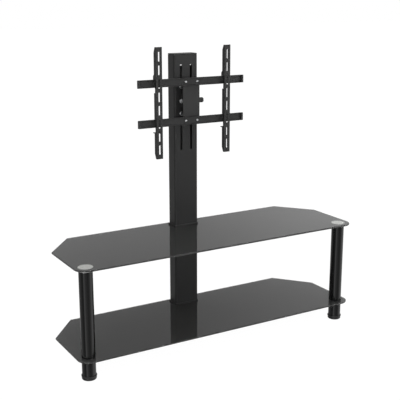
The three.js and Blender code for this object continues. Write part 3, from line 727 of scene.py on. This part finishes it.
# %% Start a tree and run it
def new_tree(name, **inputs):
    """A Geometry Nodes tree with named inputs, a place and a material, and the outputs of its start node."""
    tree = bpy.data.node_groups.new(name, "GeometryNodeTree")
    tree.is_modifier = True
    tree.interface.new_socket("Geometry", in_out="OUTPUT", socket_type="NodeSocketGeometry")
    for label, kind in spaced({**inputs, "Place": "Vector", "Material": "Material"}).items():
        tree.interface.new_socket(label, in_out="INPUT", socket_type="NodeSocket" + kind)
    print("Tree:", name)
    return tree, tree.nodes.new("NodeGroupInput").outputs


def finish_tree(tree, given, shape):
    """Ends a tree: realizes instances, merges doubles, moves the result to its place and paints it."""
    real = add_node(tree, "GeometryNodeRealizeInstances", {"Geometry": shape})
    merged = add_node(tree, "GeometryNodeMergeByDistance", {"Geometry": real, "Distance": weld_distance})
    placed = add_node(tree, "GeometryNodeTransform", {"Geometry": merged, "Translation": given["Place"]})
    painted = add_node(tree, "GeometryNodeSetMaterial", {"Geometry": placed, "Material": given["Material"]})
    add_node(tree, "NodeGroupOutput", {"Geometry": painted})


def grow(tree, name, material, place, **values):
    """Runs a tree with the given inputs and returns its result as a plain mesh."""
    start = bpy.data.meshes.new(name + "_start")
    thing = new_object(name + "_start", start)
    modifier = thing.modifiers.new("grow", "NODES")
    modifier.node_group = tree
    sockets = {item.name: item.identifier for item in tree.interface.items_tree if item.in_out == "INPUT"}
    for label, value in spaced({**values, "Place": tuple(place), "Material": material}).items():
        modifier[sockets[label]] = value
    mesh = baked(thing)
    bpy.data.objects.remove(thing)
    bpy.data.meshes.remove(start)
    return mesh


# %% A tree for tubes: a small rounded rectangle is swept round a circle
tube_tree, given = new_tree("tube", Radius="Float", Wall="Float", Length="Float", Edge="Float")
half_wall = calculate(tube_tree, "MULTIPLY", given["Wall"], 0.5)
mid_wall = calculate(tube_tree, "SUBTRACT", given["Radius"], half_wall)
section_sizes = {"Width": given["Wall"], "Height": given["Length"]}
section = add_node(tube_tree, "GeometryNodeCurvePrimitiveQuadrilateral", section_sizes)
softening = {"Curve": section, "Count": 3, "Radius": given["Edge"]}
soft_section = add_node(tube_tree, "GeometryNodeFilletCurve", softening, mode="POLY")
path = add_node(tube_tree, "GeometryNodeCurvePrimitiveCircle", {"Resolution": 96, "Radius": mid_wall})
tube = add_node(tube_tree, "GeometryNodeCurveToMesh", {"Curve": path, "Profile Curve": soft_section})
finish_tree(tube_tree, given, tube)

# %% A tree for screw threads: a small ridge is swept along a spiral
thread_tree, given = new_tree("thread", Radius="Float", Pitch="Float", Length="Float", Ridge="Float")
spiral_sizes = {
    "Resolution": 24,
    "Rotations": calculate(thread_tree, "DIVIDE", given["Length"], given["Pitch"]),
    "Start Radius": given["Radius"],
    "End Radius": given["Radius"],
    "Height": given["Length"],
}
spiral = add_node(thread_tree, "GeometryNodeCurveSpiral", spiral_sizes)
ridge = add_node(thread_tree, "GeometryNodeCurvePrimitiveCircle", {"Resolution": 4, "Radius": given["Ridge"]})
thread_parts = {"Curve": spiral, "Profile Curve": ridge, "Fill Caps": True}
finish_tree(thread_tree, given, add_node(thread_tree, "GeometryNodeCurveToMesh", thread_parts))

# %% A tree for rows of screws: one head is copied to the corners of an upright grid
row_tree, given = new_tree(
    "screw_rows", Screw="Object", Width="Float", Height="Float", Across="Int", Up="Int"
)
grid_sizes = {
    "Size X": given["Width"],
    "Size Y": given["Height"],
    "Vertices X": given["Across"],
    "Vertices Y": given["Up"],
}
grid = add_node(row_tree, "GeometryNodeMeshGrid", grid_sizes).outputs["Mesh"]
quarter_turn = (math.radians(90), 0, 0)
standing = add_node(row_tree, "GeometryNodeTransform", {"Geometry": grid, "Rotation": quarter_turn})
screw = add_node(row_tree, "GeometryNodeObjectInfo", {"Object": given["Screw"]}).outputs["Geometry"]
copies = add_node(row_tree, "GeometryNodeInstanceOnPoints", {"Points": standing, "Instance": screw})
finish_tree(row_tree, given, copies)

# %% A tree for grip ribs: one slim rib is copied round an upright axis
rib_tree, given = new_tree("grip_ribs", Count="Int", Radius="Float", Rib_Radius="Float", Rib_Length="Float")
rib_circle = {"Vertices": given["Count"], "Radius": given["Radius"]}
rib_places = add_node(rib_tree, "GeometryNodeMeshCircle", rib_circle).outputs["Mesh"]
rib_sizes = {"Vertices": 8, "Radius": given["Rib Radius"], "Depth": given["Rib Length"]}
rib = add_node(rib_tree, "GeometryNodeMeshCylinder", rib_sizes).outputs["Mesh"]
copies = add_node(rib_tree, "GeometryNodeInstanceOnPoints", {"Points": rib_places, "Instance": rib})
finish_tree(rib_tree, given, copies)

# %% [markdown]
# ## Screws, nuts and threads
#
# A hexagon head is a hexagonal bar whose corners were turned down by a cone, which leaves a curved line on
# each flat. A bevel on a six-sided prism doesn't give that line. Here the hexagon is sampled at 48 angles,
# so that the cone's line comes out by itself. A thread is a ridge on a core a little thinner than the screw.

# %% Shape rings and hexagons
hexagon_steps = 48
chamfer_share = 0.48
chamfer_slope = math.tan(math.radians(30))


def ring_at(radius, height):
    """A round ring of points at a height."""
    return [(p.x, p.y, height) for p in circle(0, 0, radius, hexagon_steps)]


def hexagon_at(width, height, lean=0):
    """A ring of points round a hexagon. Lean moves its corners up (1) or down (-1), as a chamfer does."""
    ring_points = []
    for step in range(hexagon_steps):
        angle = 2 * math.pi * step / hexagon_steps
        off_flat = (angle + math.pi / 6) % (math.pi / 3) - math.pi / 6
        reach = width / 2 / math.cos(off_flat)
        drop = (reach - width * chamfer_share) * chamfer_slope * lean
        ring_points.append((reach * math.cos(angle), reach * math.sin(angle), height + drop))
    return ring_points


print("Angles round a hexagon:", hexagon_steps, "points on a ring:", len(ring_at(1, 0)))

# %% Shape flanged bolts and nuts
bolt_radius = 0.004
bolt_width = 0.013
bolt_head = 0.0053
flange_radius = 0.0085
end_chamfer = 0.0007
core_share = 0.88
dish_share = 0.06
dish_floor_share = 0.34
dish_rim_share = 0.38
flange_share = 0.22
hexagon_end_share = 1.4
flange_edge_share = 0.6
flange_bevel_share = 0.4


def bolt_mesh(name, length, place):
    """A flanged hexagon bolt from its head at height 0 up to the end of its shank."""
    core = bolt_radius * core_share
    flange = bolt_head * flange_share
    dish = bolt_head * dish_share
    rings = [
        [(0, 0, dish)],
        ring_at(bolt_width * dish_floor_share, dish),
        ring_at(bolt_width * dish_rim_share, 0),
        ring_at(bolt_width * chamfer_share, 0),
        hexagon_at(bolt_width, 0, 1),
        hexagon_at(bolt_width, bolt_head - flange * hexagon_end_share),
        ring_at(flange_radius - flange * flange_bevel_share, bolt_head - flange),
        ring_at(flange_radius, bolt_head - flange * flange_edge_share),
        ring_at(flange_radius, bolt_head),
        ring_at(core, bolt_head),
        ring_at(core, length - end_chamfer),
        ring_at(core - end_chamfer, length),
        [(0, 0, length)],
    ]
    return skinned(name, rings, place)


def nut_mesh(name, bore, width, height, place):
    """A plain hexagon nut, chamfered on both faces and in its bore."""
    rings = [
        ring_at(bore, end_chamfer),
        ring_at(bore + end_chamfer, 0),
        ring_at(width * chamfer_share, 0),
        hexagon_at(width, 0, 1),
        hexagon_at(width, height, -1),
        ring_at(width * chamfer_share, height),
        ring_at(bore + end_chamfer, height),
        ring_at(bore, height - end_chamfer),
    ]
    return skinned(name, rings, place)


print("Bolt head in mm:", bolt_head * 1000, "flange radius in mm:", flange_radius * 1000)

# %% Cut threads
ridge_share = 1.15
screw_pitch = 0.00125


def thread_mesh(name, radius, start, length, pitch, place):
    """The thread of a screw, from start along its axis."""
    ridge_size = radius * (1 - core_share) * ridge_share
    sizes = {"Radius": radius - ridge_size, "Pitch": pitch, "Length": length, "Ridge": ridge_size}
    mesh = grow(thread_tree, name, bright_zinc, (0, 0, start), **sizes)
    mesh.transform(place)
    return mesh


def bolt_thread_mesh(name, length, place):
    """The thread of a flanged bolt, from under its head to the chamfer of its end."""
    thread_length = length - bolt_head - 2 * end_chamfer
    return thread_mesh(name, bolt_radius, bolt_head + end_chamfer, thread_length, screw_pitch, place)


print("Screw pitch in mm:", screw_pitch * 1000)

# %% [markdown]
# ## The glass shelves
#
# A shelf of this kind is 6 mm toughened glass with rounded, polished edges. The front corners are round and
# the rear corners are clipped. The pane and its printed coat are two pieces: the coat sits in the bottom of
# the pane with no air between, so that the glass mirrors once, at its upper face. The upper shelf has a
# clear window over each leg, where the silver disc shows.

# %% Make the shelves
corner_radius = 0.045
clip_across = 0.115
clip_back = 0.141
vertex_radius = 0.006
rod_bore = 0.0065
glass_edge = 0.0016
coat_reveal = 0.0007
coat_depth = 0.0003
coat_edge = coat_depth / 6
coat_sink = 0.0001
window_radius = 0.0271


def axis_of(node):
    """The place across and back of the upright axis of a CAD node."""
    low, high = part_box(node)
    return (low.x + high.x) / 2, (low.y + high.y) / 2


def holes_at(place, radius, steps):
    """Two round holes, mirrored left and right."""
    x, y = place
    return [circle(-x, y, radius, steps), circle(x, y, radius, steps)]


def make_shelf(name, node, bores, windows, coat_material):
    """A clear pane and the black coat in its underside, in the place of one CAD shelf."""
    low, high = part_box(node)
    corners = [
        (low.x, low.y, corner_radius),
        (high.x, low.y, corner_radius),
        (high.x, high.y - clip_back, vertex_radius),
        (high.x - clip_across, high.y, vertex_radius),
        (low.x + clip_across, high.y, vertex_radius),
        (low.x, high.y - clip_back, vertex_radius),
    ]
    outline = rounded(corners, steps=16)
    pane = plate_mesh(name + "_pane", outline, bores, low.z + coat_sink, high.z, glass_edge, steps=4)
    add_piece(name + "_pane", pane, float_glass, node)
    printed = inset(outline, coat_reveal)
    coat = plate_mesh(name + "_coat", printed, bores + windows, low.z, low.z + coat_depth, coat_edge, steps=1)
    add_piece(name + "_coat", coat, coat_material, node)


tie_bores = holes_at(axis_of("right_tie_rod"), rod_bore, steps=32)
leg_bores = holes_at(axis_of("right_disc"), rod_bore, steps=32)
disc_windows = holes_at(axis_of("right_disc"), window_radius, steps=96)
make_shelf("upper_shelf", "upper_glass_shelf", tie_bores, disc_windows, upper_print)
make_shelf("lower_shelf", "lower_glass_shelf", tie_bores + leg_bores, [], lower_print_painted_light)
print("Windows in the upper shelf:", len(disc_windows), "bores:", len(tie_bores), "and", len(leg_bores))

# %% [markdown]
# ## The front legs
#
# Each leg is a stack: a foot, a proud socket ring, the lower tube, the shelf between two gaskets, the upper
# tube, and a silver disc that is bonded under the upper glass. The tubes come from the tube tree. The turned
# pieces are spun from profiles, because their steps and grooves are what one sees from close by. Five
# roundings, from sharp to soft, serve most of their small corners.

# %% Helpers for turned pieces and studs
sharp_round = 0.0001
crisp_round = 0.0002
slight_round = 0.0003
eased_round = 0.0004
soft_round = 0.0006
stud_radius = 0.004
sole_height = 0.0009
sink = 0.001


def middle(low, high):
    """The middle of a box."""
    return (low + high) / 2


def radius_of(node):
    """The radius of a round CAD node."""
    low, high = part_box(node)
    return (high.x - low.x) / 2


def height_of(node):
    """The height of a CAD node."""
    low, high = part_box(node)
    return high.z - low.z


def at_foot_of(node):
    """The place of a node's axis at its lower end, as a matrix."""
    return Matrix.Translation((*axis_of(node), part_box(node)[0].z))


def turned_piece(name, node, material, corners, steps=64, arc_steps=4):
    """A turned piece on the axis of a CAD node. Corners are (radius, height above its foot, rounding)."""
    add_piece(name, turned_mesh(name, corners, steps, at_foot_of(node), arc_steps), material, node)


def make_sole(name, node, radius):
    """The rubber disc that a foot stands on."""
    corners = [(0, 0, 0), (radius, 0, eased_round), (radius, sole_height, 0), (0, sole_height, 0)]
    turned_piece(name, node, soft_rubber, corners)


def make_stud(name, node, low, high, radius=stud_radius):
    """A threaded zinc stud between two heights above a node's foot: the core, and its thread."""
    core = radius * core_share
    corners = [(0, low, 0), (core, low, 0), (core, high, end_chamfer), (0, high, 0)]
    turned_piece(name, node, bright_zinc, corners, steps=32)
    length = high - low - 2 * sink
    thread = thread_mesh(name + "_thread", radius, low + sink, length, screw_pitch, at_foot_of(node))
    add_piece(name + "_thread", thread, bright_zinc, node)


print("Stud radius in mm:", stud_radius * 1000)

# %% Describe a silver disc
disc_rim = 0.004
disc_boss = 0.011
disc_top_round = 0.0005
skirt_height = 0.0042
skirt_wall = 0.0006
skirt_play = 0.0001


def make_disc(side):
    """The silver disc, faced on top, with its boss and a thin bright skirt over the end of the tube."""
    node = side + "_disc"
    radius = radius_of(node)
    tall = height_of(node)
    under_rim = tall - disc_rim
    skirt = radius_of(side + "_upper_tube") + skirt_play
    skirt_end = under_rim - skirt_height
    corners = [
        (0, 0, 0),
        (disc_boss, 0, soft_round),
        (disc_boss, under_rim, eased_round),
        (skirt, under_rim, 0),
        (skirt, skirt_end, sharp_round),
        (skirt + skirt_wall, skirt_end, crisp_round),
        (skirt + skirt_wall, under_rim, slight_round),
        (radius, under_rim, soft_round),
        (radius, tall, disc_top_round),
        (0, tall, 0),
    ]
    silver = turned_silver(side + "_turned_silver", axis_of(node))
    turned_piece(side + "_leg_disc", node, silver, corners, steps=96)


print("Rim of a disc in mm:", disc_rim * 1000)

# %% Describe a front foot
ring_height = 0.0056
ring_lower_round = 0.0012
ring_upper_round = 0.0018
plug_round = 0.001
stud_play = 0.0003
foot_height = 0.011
foot_lift = 0.0002
foot_toe = 0.0012
foot_toe_round = 0.0034
foot_top_round = 0.0010
sole_margin = 0.006
sole_recess = 0.0010
sole_play = 0.0002
groove_at = 0.0062
groove_depth = 0.0009
groove_floor = 0.0008
groove_slope = 0.0006


def make_socket(side):
    """The proud socket ring, with its plug in the lower tube."""
    node = side + "_socket_ring"
    outer = radius_of(node)
    plug = radius_of(side + "_lower_tube_insert")
    tall = height_of(node)
    bore = stud_radius + stud_play
    corners = [
        (bore, 0, eased_round),
        (outer, 0, ring_lower_round),
        (outer, ring_height, ring_upper_round),
        (plug, ring_height, 0),
        (plug, tall, plug_round),
        (bore, tall, eased_round),
    ]
    turned_piece(side + "_foot_socket", node, moulded_plastic, corners, steps=96)


def make_front_foot(side):
    """The levelling foot under the socket ring, with a rubber sole and a threaded stud."""
    node = side + "_front_foot"
    radius = radius_of(node)
    sole = radius - sole_margin
    groove = radius - groove_depth
    corners = [
        (0, sole_recess, 0),
        (sole, sole_recess, crisp_round),
        (sole, foot_lift, crisp_round),
        (radius - foot_toe, foot_lift, foot_toe_round),
        (radius, groove_at - groove_slope, slight_round),
        (groove, groove_at, slight_round),
        (groove, groove_at + groove_floor, slight_round),
        (radius, groove_at + groove_floor + groove_slope, slight_round),
        (radius, foot_height, foot_top_round),
        (0, foot_height, 0),
    ]
    turned_piece(side + "_foot_pad", node, moulded_plastic, corners, steps=96)
    make_sole(side + "_foot_sole", node, sole - sole_play)
    make_stud(side + "_foot_stud", node, foot_height - sink, height_of(node))


print("Socket ring in mm:", ring_height * 1000, "foot in mm:", foot_height * 1000)

# %% Stack the legs
tube_wall = 0.0018
tube_edge = 0.0004
gasket_wall = 0.008
gasket_edge = 0.0003


def tube_piece(name, node, wall, edge, material):
    """A tube from the tube tree in the place of one CAD node."""
    sizes = {"Radius": radius_of(node), "Wall": wall, "Length": height_of(node), "Edge": edge}
    add_piece(name, grow(tube_tree, name, material, middle(*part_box(node)), **sizes), material, node)


for side in ("left", "right"):
    make_disc(side)
    tube_piece(side + "_leg_upper", side + "_upper_tube", tube_wall, tube_edge, gloss_lacquer)
    tube_piece(side + "_leg_lower", side + "_lower_tube", tube_wall, tube_edge, gloss_lacquer)
    for level in ("above", "below"):
        gasket = f"{side}_gasket_{level}_glass"
        tube_piece(f"{side}_leg_gasket_{level}", gasket, gasket_wall, gasket_edge, soft_rubber)
    make_socket(side)
    make_front_foot(side)
    dress(moulded_plastic, side + "_upper_tube_top_insert", side + "_upper_tube_bottom_insert")
    dress(moulded_plastic, side + "_lower_tube_insert")
    dress(bright_zinc, side + "_leg_rod")
print("Leg tube wall in mm:", tube_wall * 1000)

# %% [markdown]
# ## The column and the mast
#
# Both are folded from sheet steel, 2.5 mm thick, with soft front corners and an open back. A plastic cover
# closes the cable channel behind, short of both ends. A moulded tray holds each foot on the glass.

# %% Refine the column and the mast
folded_edge = 0.0006
moulded_edge = 0.0012
pad_edge = 0.0004
base_edge = 0.0008
refine_piece("column_body", "column_shell", folded_edge, satin_powder)
refine_piece("mast_body", "mast_shell", folded_edge, satin_powder)
refine_piece("column_tray", "column_collar", moulded_edge, moulded_plastic, segments=3)
refine_piece("mast_tray", "mast_collar", moulded_edge, moulded_plastic, segments=3)
refine_piece("column_back", "column_cover", folded_edge, moulded_plastic)
refine_piece("mast_back", "mast_cover", folded_edge, moulded_plastic)
refine_piece("mast_lid", "mast_cap", moulded_edge, moulded_plastic, segments=3)
refine_piece("column_base_pad", "base_pad", pad_edge, soft_rubber)
refine_piece("column_top_pad", "upper_shelf_pad", pad_edge, soft_rubber)
refine_piece("base_channel", "rear_base", base_edge, satin_powder)

# %% [markdown]
# ## The base and what holds the column
#
# Two rods pass through the column and both shelves, and a nut at each end draws the stack together. The feet
# under the base are turned by hand, so their edge has ribs for the fingers.

# %% Describe a tie rod
tie_thread = 0.030
tie_pitch = 0.0015
tie_nut_width = 0.017


def make_tie_rod(side):
    """A plain rod with a thread and a nut at each end."""
    node = side + "_tie_rod"
    radius = radius_of(node)
    core = radius * core_share
    tall = height_of(node)
    corners = [
        (0, 0, 0),
        (core, 0, end_chamfer),
        (core, tie_thread, 0),
        (radius, tie_thread + sink, eased_round),
        (radius, tall - tie_thread - sink, eased_round),
        (core, tall - tie_thread, 0),
        (core, tall, end_chamfer),
        (0, tall, 0),
    ]
    turned_piece(side + "_rod", node, bright_zinc, corners, steps=48)
    for end, start in (("lower", sink), ("upper", tall - tie_thread)):
        name = f"{side}_rod_{end}_thread"
        thread = thread_mesh(name, radius, start, tie_thread - sink, tie_pitch, at_foot_of(node))
        add_piece(name, thread, bright_zinc, node)
        nut_node = f"{side}_tie_rod_{end}_nut"
        nut = nut_mesh(nut_node, core, tie_nut_width, height_of(nut_node), at_foot_of(nut_node))
        add_piece(f"{side}_{end}_nut", nut, bright_zinc, nut_node)


print("Thread on each end of a tie rod in mm:", tie_thread * 1000)

# %% Fit the rods, their nuts and the rear feet
rear_ribs = 36
rib_radius = 0.0006
rib_sink = 0.0001
rear_rib_share = 0.42
rear_rib_height_share = 0.52
rear_sole_margin = 0.004
rear_toe = 0.0010
rear_toe_round = 0.0030
rear_shoulder = 0.0016
rear_top_share = 0.55


def make_ribs(name, node, count, radius, length, height):
    """Grip ribs round the axis of a CAD node, with their middle at a height above its foot."""
    place = at_foot_of(node) @ Vector((0, 0, height))
    sizes = {"Count": count, "Radius": radius, "Rib_Radius": rib_radius, "Rib_Length": length}
    add_piece(name, grow(rib_tree, name, moulded_plastic, place, **sizes), moulded_plastic, node)


def make_rear_foot(side):
    """A ribbed levelling foot with its stud and its rubber sole."""
    node = side + "_rear_foot"
    radius = radius_of(node)
    rim = radius - rib_radius
    sole = radius - rear_sole_margin
    corners = [
        (0, sole_height, 0),
        (sole, sole_height, crisp_round),
        (sole, foot_lift, crisp_round),
        (rim - rear_toe, foot_lift, rear_toe_round),
        (rim, foot_height - rear_shoulder, rear_shoulder),
        (radius * rear_top_share, foot_height, foot_top_round),
        (0, foot_height, 0),
    ]
    turned_piece(side + "_rear_pad", node, moulded_plastic, corners, steps=96)
    rib_length = foot_height * rear_rib_share
    rib_height = foot_height * rear_rib_height_share
    make_ribs(side + "_rear_ribs", node, rear_ribs, rim - rib_sink, rib_length, rib_height)
    make_sole(side + "_rear_sole", node, sole - sole_play)
    make_stud(side + "_rear_stud", node, foot_height - sink, height_of(node))


for side in ("left", "right"):
    make_tie_rod(side)
    make_rear_foot(side)
print("Ribs on a rear foot:", rear_ribs)

# %% [markdown]
# ## The mount
#
# The mount is stamped and folded from 2 to 4 mm steel and has a coarse black powder coat. From the mast
# forwards it is a carriage plate, a swivel head on an upright pin, a tilt bracket on a cross bolt, two rails,
# and two arms that hook over the rails. The sheet pieces keep their CAD shape and get rounded edges.

# %% Refine the sheet pieces of the mount
sheet_edge = 0.0004
knob_edge = 0.0010
mount_sheets = {
    "mount_carriage": "carriage_plate",
    "mount_clamp_plate": "clamp_plate",
    "mount_swivel_head": "swivel_head",
    "mount_tilt_bracket": "tilt_bracket",
    "upper_mount_rail": "upper_rail",
    "lower_mount_rail": "lower_rail",
    "left_screen_arm": "left_arm",
    "right_screen_arm": "right_arm",
}
for name, node in mount_sheets.items():
    refine_piece(name, node, sheet_edge, coarse_powder)
refine_piece("tilt_hand_knob", "tilt_knob", knob_edge, moulded_plastic, segments=3)

# %% [markdown]
# Four flanged bolts clamp the carriage to the mast, and four rivets hold the tilt bracket to the rails. Both
# sets sit on a grid of two by two, so one tree places them: it takes one screw and the size of the grid.


# %% Set the clamp bolts
def rows_piece(name, sample_mesh, width, height, place, material, *cad_nodes, up=2, replaces=True):
    """Copies of one small mesh, which is used up, at the points of an upright grid, two across."""
    sample = new_object(name + "_sample", sample_mesh)
    sizes = {"Screw": sample, "Width": width, "Height": height, "Across": 2, "Up": up}
    rows = grow(row_tree, name, material, place, **sizes)
    bpy.data.objects.remove(sample)
    bpy.data.meshes.remove(sample_mesh)
    add_piece(name, rows, material, *cad_nodes, replaces=replaces)


clamp_nodes = [f"{level}_{side}_clamp_bolt" for level in ("upper", "lower") for side in ("left", "right")]
clamp_boxes = [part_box(node) for node in clamp_nodes]
clamp_low = Vector([min(box[0][axis] for box in clamp_boxes) for axis in range(3)])
clamp_high = Vector([max(box[1][axis] for box in clamp_boxes) for axis in range(3)])
clamp_size = clamp_boxes[0][1] - clamp_boxes[0][0]
clamp_centre = middle(clamp_low, clamp_high)
spread = clamp_high - clamp_low - clamp_size
clamp_place = (clamp_centre.x, clamp_low.y, clamp_centre.z)
for name, make_mesh in (("mount_clamp_bolts", bolt_mesh), ("mount_clamp_threads", bolt_thread_mesh)):
    one = make_mesh(name + "_one", clamp_size.y, ALONG_Y)
    rows_piece(name, one, spread.x, spread.z, clamp_place, bright_zinc, *clamp_nodes)
print("Clamp bolts, apart in mm:", round(spread.x * 1000), round(spread.z * 1000))

# %% Set the rivets
rivet_radius = 0.0046
rivet_dome = 0.0020
rivet_spread = 0.050
rivet_crown_round = 0.0030
rivet_tail_round = 0.0005
crown_radius_share = 0.62
crown_height_share = 0.86
dome_edge_share = 0.25
shank_share = 0.5
tail_share = 0.9
tail_side_share = 0.5
tail_end_share = 0.7
rail_wall = 0.002
bracket_play = 0.0003
bracket_plate = 0.003

upper_rail_low, upper_rail_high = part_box("upper_rail")
lower_rail_low, lower_rail_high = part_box("lower_rail")
rail_spacing = upper_rail_low.z - lower_rail_low.z
rail_middle = middle(lower_rail_low, upper_rail_high)
web_front = upper_rail_high.y - rail_wall
plate_rear = upper_rail_high.y + bracket_play + bracket_plate
rivet_length = plate_rear - web_front
shank = rivet_radius * shank_share
tail = rivet_radius * tail_share
rivet_corners = [
    (0, -rivet_dome, 0),
    (rivet_radius * crown_radius_share, -rivet_dome * crown_height_share, rivet_crown_round),
    (rivet_radius, -rivet_dome * dome_edge_share, soft_round),
    (rivet_radius, 0, sharp_round),
    (shank, 0, 0),
    (shank, rivet_length, 0),
    (tail, rivet_length, sharp_round),
    (tail, rivet_length + rivet_dome * tail_side_share, rivet_tail_round),
    (shank, rivet_length + rivet_dome * tail_end_share, rivet_tail_round),
    (0, rivet_length + rivet_dome * tail_end_share, 0),
]
rivet = turned_mesh("rivet", rivet_corners, 32, ALONG_Y, 3)
rivet_place = (rail_middle.x, web_front, rail_middle.z)
rivet_grid = (rivet_spread, rail_spacing, rivet_place)
rows_piece("mount_rivets", rivet, *rivet_grid, bright_zinc, "tilt_bracket", replaces=False)
print("Rivet length in mm:", round(rivet_length * 1000, 1))

# %% [markdown]
# The tilt bolt crosses the bracket and the swivel head, and the knob on its end clamps the tilt. The swivel
# pin drops through from above and a spring clip holds it from below. Both are turned parts in bright zinc.

# %% Turn the tilt bolt
bolt_low, bolt_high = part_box("tilt_bolt")
bolt_centre = middle(bolt_low, bolt_high)
bolt_length = bolt_high.x - bolt_low.x
bolt_place = Matrix.Translation((bolt_low.x, bolt_centre.y, bolt_centre.z)) @ ALONG_X
for name, make_mesh in (("tilt_cross_bolt", bolt_mesh), ("tilt_bolt_thread", bolt_thread_mesh)):
    add_piece(name, make_mesh(name, bolt_length, bolt_place), bright_zinc, "tilt_bolt")
print("Tilt bolt in mm:", round(bolt_length * 1000, 1))

# %% Turn the swivel pin and bend its clip
pin_radius = 0.004
pin_tip_round = 0.0008
pin_head = 0.004
pin_head_round = 0.0012
pin_groove_at = 0.0024
pin_groove = 0.0016
clip_reach = 0.0022
clip_play = 0.0002
clip_wire = 0.0007

pin_tall = height_of("swivel_pin")
pin_head_radius = radius_of("swivel_pin")
neck = pin_radius - pin_groove / 2
pin_corners = [
    (0, 0, 0),
    (pin_radius, 0, pin_tip_round),
    (pin_radius, pin_groove_at, sharp_round),
    (neck, pin_groove_at, sharp_round),
    (neck, pin_groove_at + pin_groove, sharp_round),
    (pin_radius, pin_groove_at + pin_groove, sharp_round),
    (pin_radius, pin_tall - pin_head, slight_round),
    (pin_head_radius, pin_tall - pin_head, eased_round),
    (pin_head_radius, pin_tall, pin_head_round),
    (0, pin_tall, 0),
]
turned_piece("swivel_hinge_pin", "swivel_pin", bright_zinc, pin_corners, steps=48, arc_steps=3)
clip_low = pin_groove_at + clip_play
clip_high = clip_low + 2 * clip_wire
clip_outside = pin_radius + clip_reach
clip_corners = [
    (neck, clip_low, slight_round),
    (clip_outside, clip_low, slight_round),
    (clip_outside, clip_high, slight_round),
    (neck, clip_high, slight_round),
]
turned_piece("swivel_pin_clip", "swivel_pin", bright_zinc, clip_corners, steps=48, arc_steps=3)
print("Swivel pin in mm:", round(pin_tall * 1000, 1))

# %% [markdown]
# Each arm is locked by a thumb screw under its lower hook. The head is moulded plastic with ribs, and the
# screw is zinc. The rails end in plastic caps, because a cut sheet edge at that height is sharp.

# %% Make the thumb screws and the rail caps
thumb_height = 0.012
thumb_ribs = 24
thumb_bolt = 0.003
thumb_dish = 0.0008
thumb_rib_proud = 0.0008
thumb_lower_round = 0.0012
thumb_upper_round = 0.0008
thumb_dish_share = 0.55
thumb_face_share = 0.62
thumb_side_share = 0.72
thumb_rib_share = 0.56
thumb_rib_height_share = 0.38


def make_thumb_screw(side):
    """The ribbed head, the screw and its thread."""
    node = side + "_lock_screw"
    radius = radius_of(node)
    rim = radius - thumb_rib_proud
    corners = [
        (0, thumb_dish, 0),
        (radius * thumb_dish_share, thumb_dish, eased_round),
        (radius * thumb_face_share, 0, eased_round),
        (rim, 0, thumb_lower_round),
        (rim, thumb_height * thumb_side_share, thumb_upper_round),
        (radius * thumb_face_share, thumb_height, soft_round),
        (0, thumb_height, 0),
    ]
    turned_piece(side + "_thumb_head", node, moulded_plastic, corners)
    rib_length = thumb_height * thumb_rib_share
    rib_height = thumb_height * thumb_rib_height_share
    make_ribs(side + "_thumb_ribs", node, thumb_ribs, rim, rib_length, rib_height)
    make_stud(side + "_thumb_bolt", node, thumb_height - sink, height_of(node), thumb_bolt)


cap_flange = 0.0015
cap_plug = 0.006
cap_play = 0.0003
cap_corner = 0.0012
cap_edge = 0.0005
plug_corner = 0.0006
plug_edge = 0.0003


def make_rail_cap(level, side):
    """A plastic cap on one end of a rail: a flange with rounded edges and a plug in the channel."""
    node = level + "_rail"
    low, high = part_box(node)
    reach = 1 if side == "right" else -1
    end = high.x if side == "right" else low.x
    centre = middle(low, high)
    place = Matrix.Translation((end, centre.y, centre.z)) @ ALONG_X
    deep = (high.y - low.y) / 2
    tall = (high.z - low.z) / 2
    inner = rail_wall + cap_play
    flange = [(tall, deep), (-tall, deep), (-tall, -deep), (tall, -deep)]
    plug = [(tall - inner, deep - inner), (inner - tall, deep - inner)]
    plug += [(inner - tall, cap_play - deep), (tall - inner, cap_play - deep)]
    name = f"{level}_rail_{side}_cap"
    for part, corners, radius, ends, edge in (
        (name, flange, cap_corner, (reach * cap_play, reach * (cap_play + cap_flange)), cap_edge),
        (name + "_plug", plug, plug_corner, (-reach * cap_plug, reach * cap_play * 2), plug_edge),
    ):
        outline = rounded([(*corner, radius) for corner in corners], steps=4)
        mesh = plate_mesh(part, outline, [], *sorted(ends), edge)
        mesh.transform(place)
        add_piece(part, mesh, moulded_plastic, node, replaces=False)


for side in ("left", "right"):
    make_thumb_screw(side)
    for level in ("upper", "lower"):
        make_rail_cap(level, side)
print("Ribs on a thumb screw:", thumb_ribs)

# %% [markdown]
# The two plastic covers behind the column and the mast snap into the open channel. Short ribs near their ends
# give the thumbs a grip. They are one small bar, copied by the same tree as the bolts.

# %% Put grip ribs on the rear covers
bar_width = 0.016
bar_height = 0.0016
bar_round = bar_height * 0.45
bar_proud = 0.0007
bar_edge = bar_proud * 0.6
bar_gap = 0.022
bar_rise = 0.0045
bar_rows = 6
bars_from_end = 0.026


def grip_bars(name, node, height):
    """Two columns of thumb bars on the rear face of a cover, round a height."""
    signs = [(-1, -1), (1, -1), (1, 1), (-1, 1)]
    corners = [(x * bar_width / 2, y * bar_height / 2, bar_round) for x, y in signs]
    bar = plate_mesh("bar", rounded(corners, steps=4), [], -bar_proud, bar_proud, bar_edge)
    bar.transform(ALONG_Y)
    grid = (bar_gap, bar_rise * (bar_rows - 1), (0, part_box(node)[1].y, height))
    rows_piece(name, bar, *grid, moulded_plastic, node, up=bar_rows, replaces=False)


for cover in ("column_cover", "mast_cover"):
    cover_low, cover_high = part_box(cover)
    grip_bars(cover + "_lower_grip", cover, cover_low.z + bars_from_end)
    grip_bars(cover + "_upper_grip", cover, cover_high.z - bars_from_end)
print("Rows of grip bars:", bar_rows)
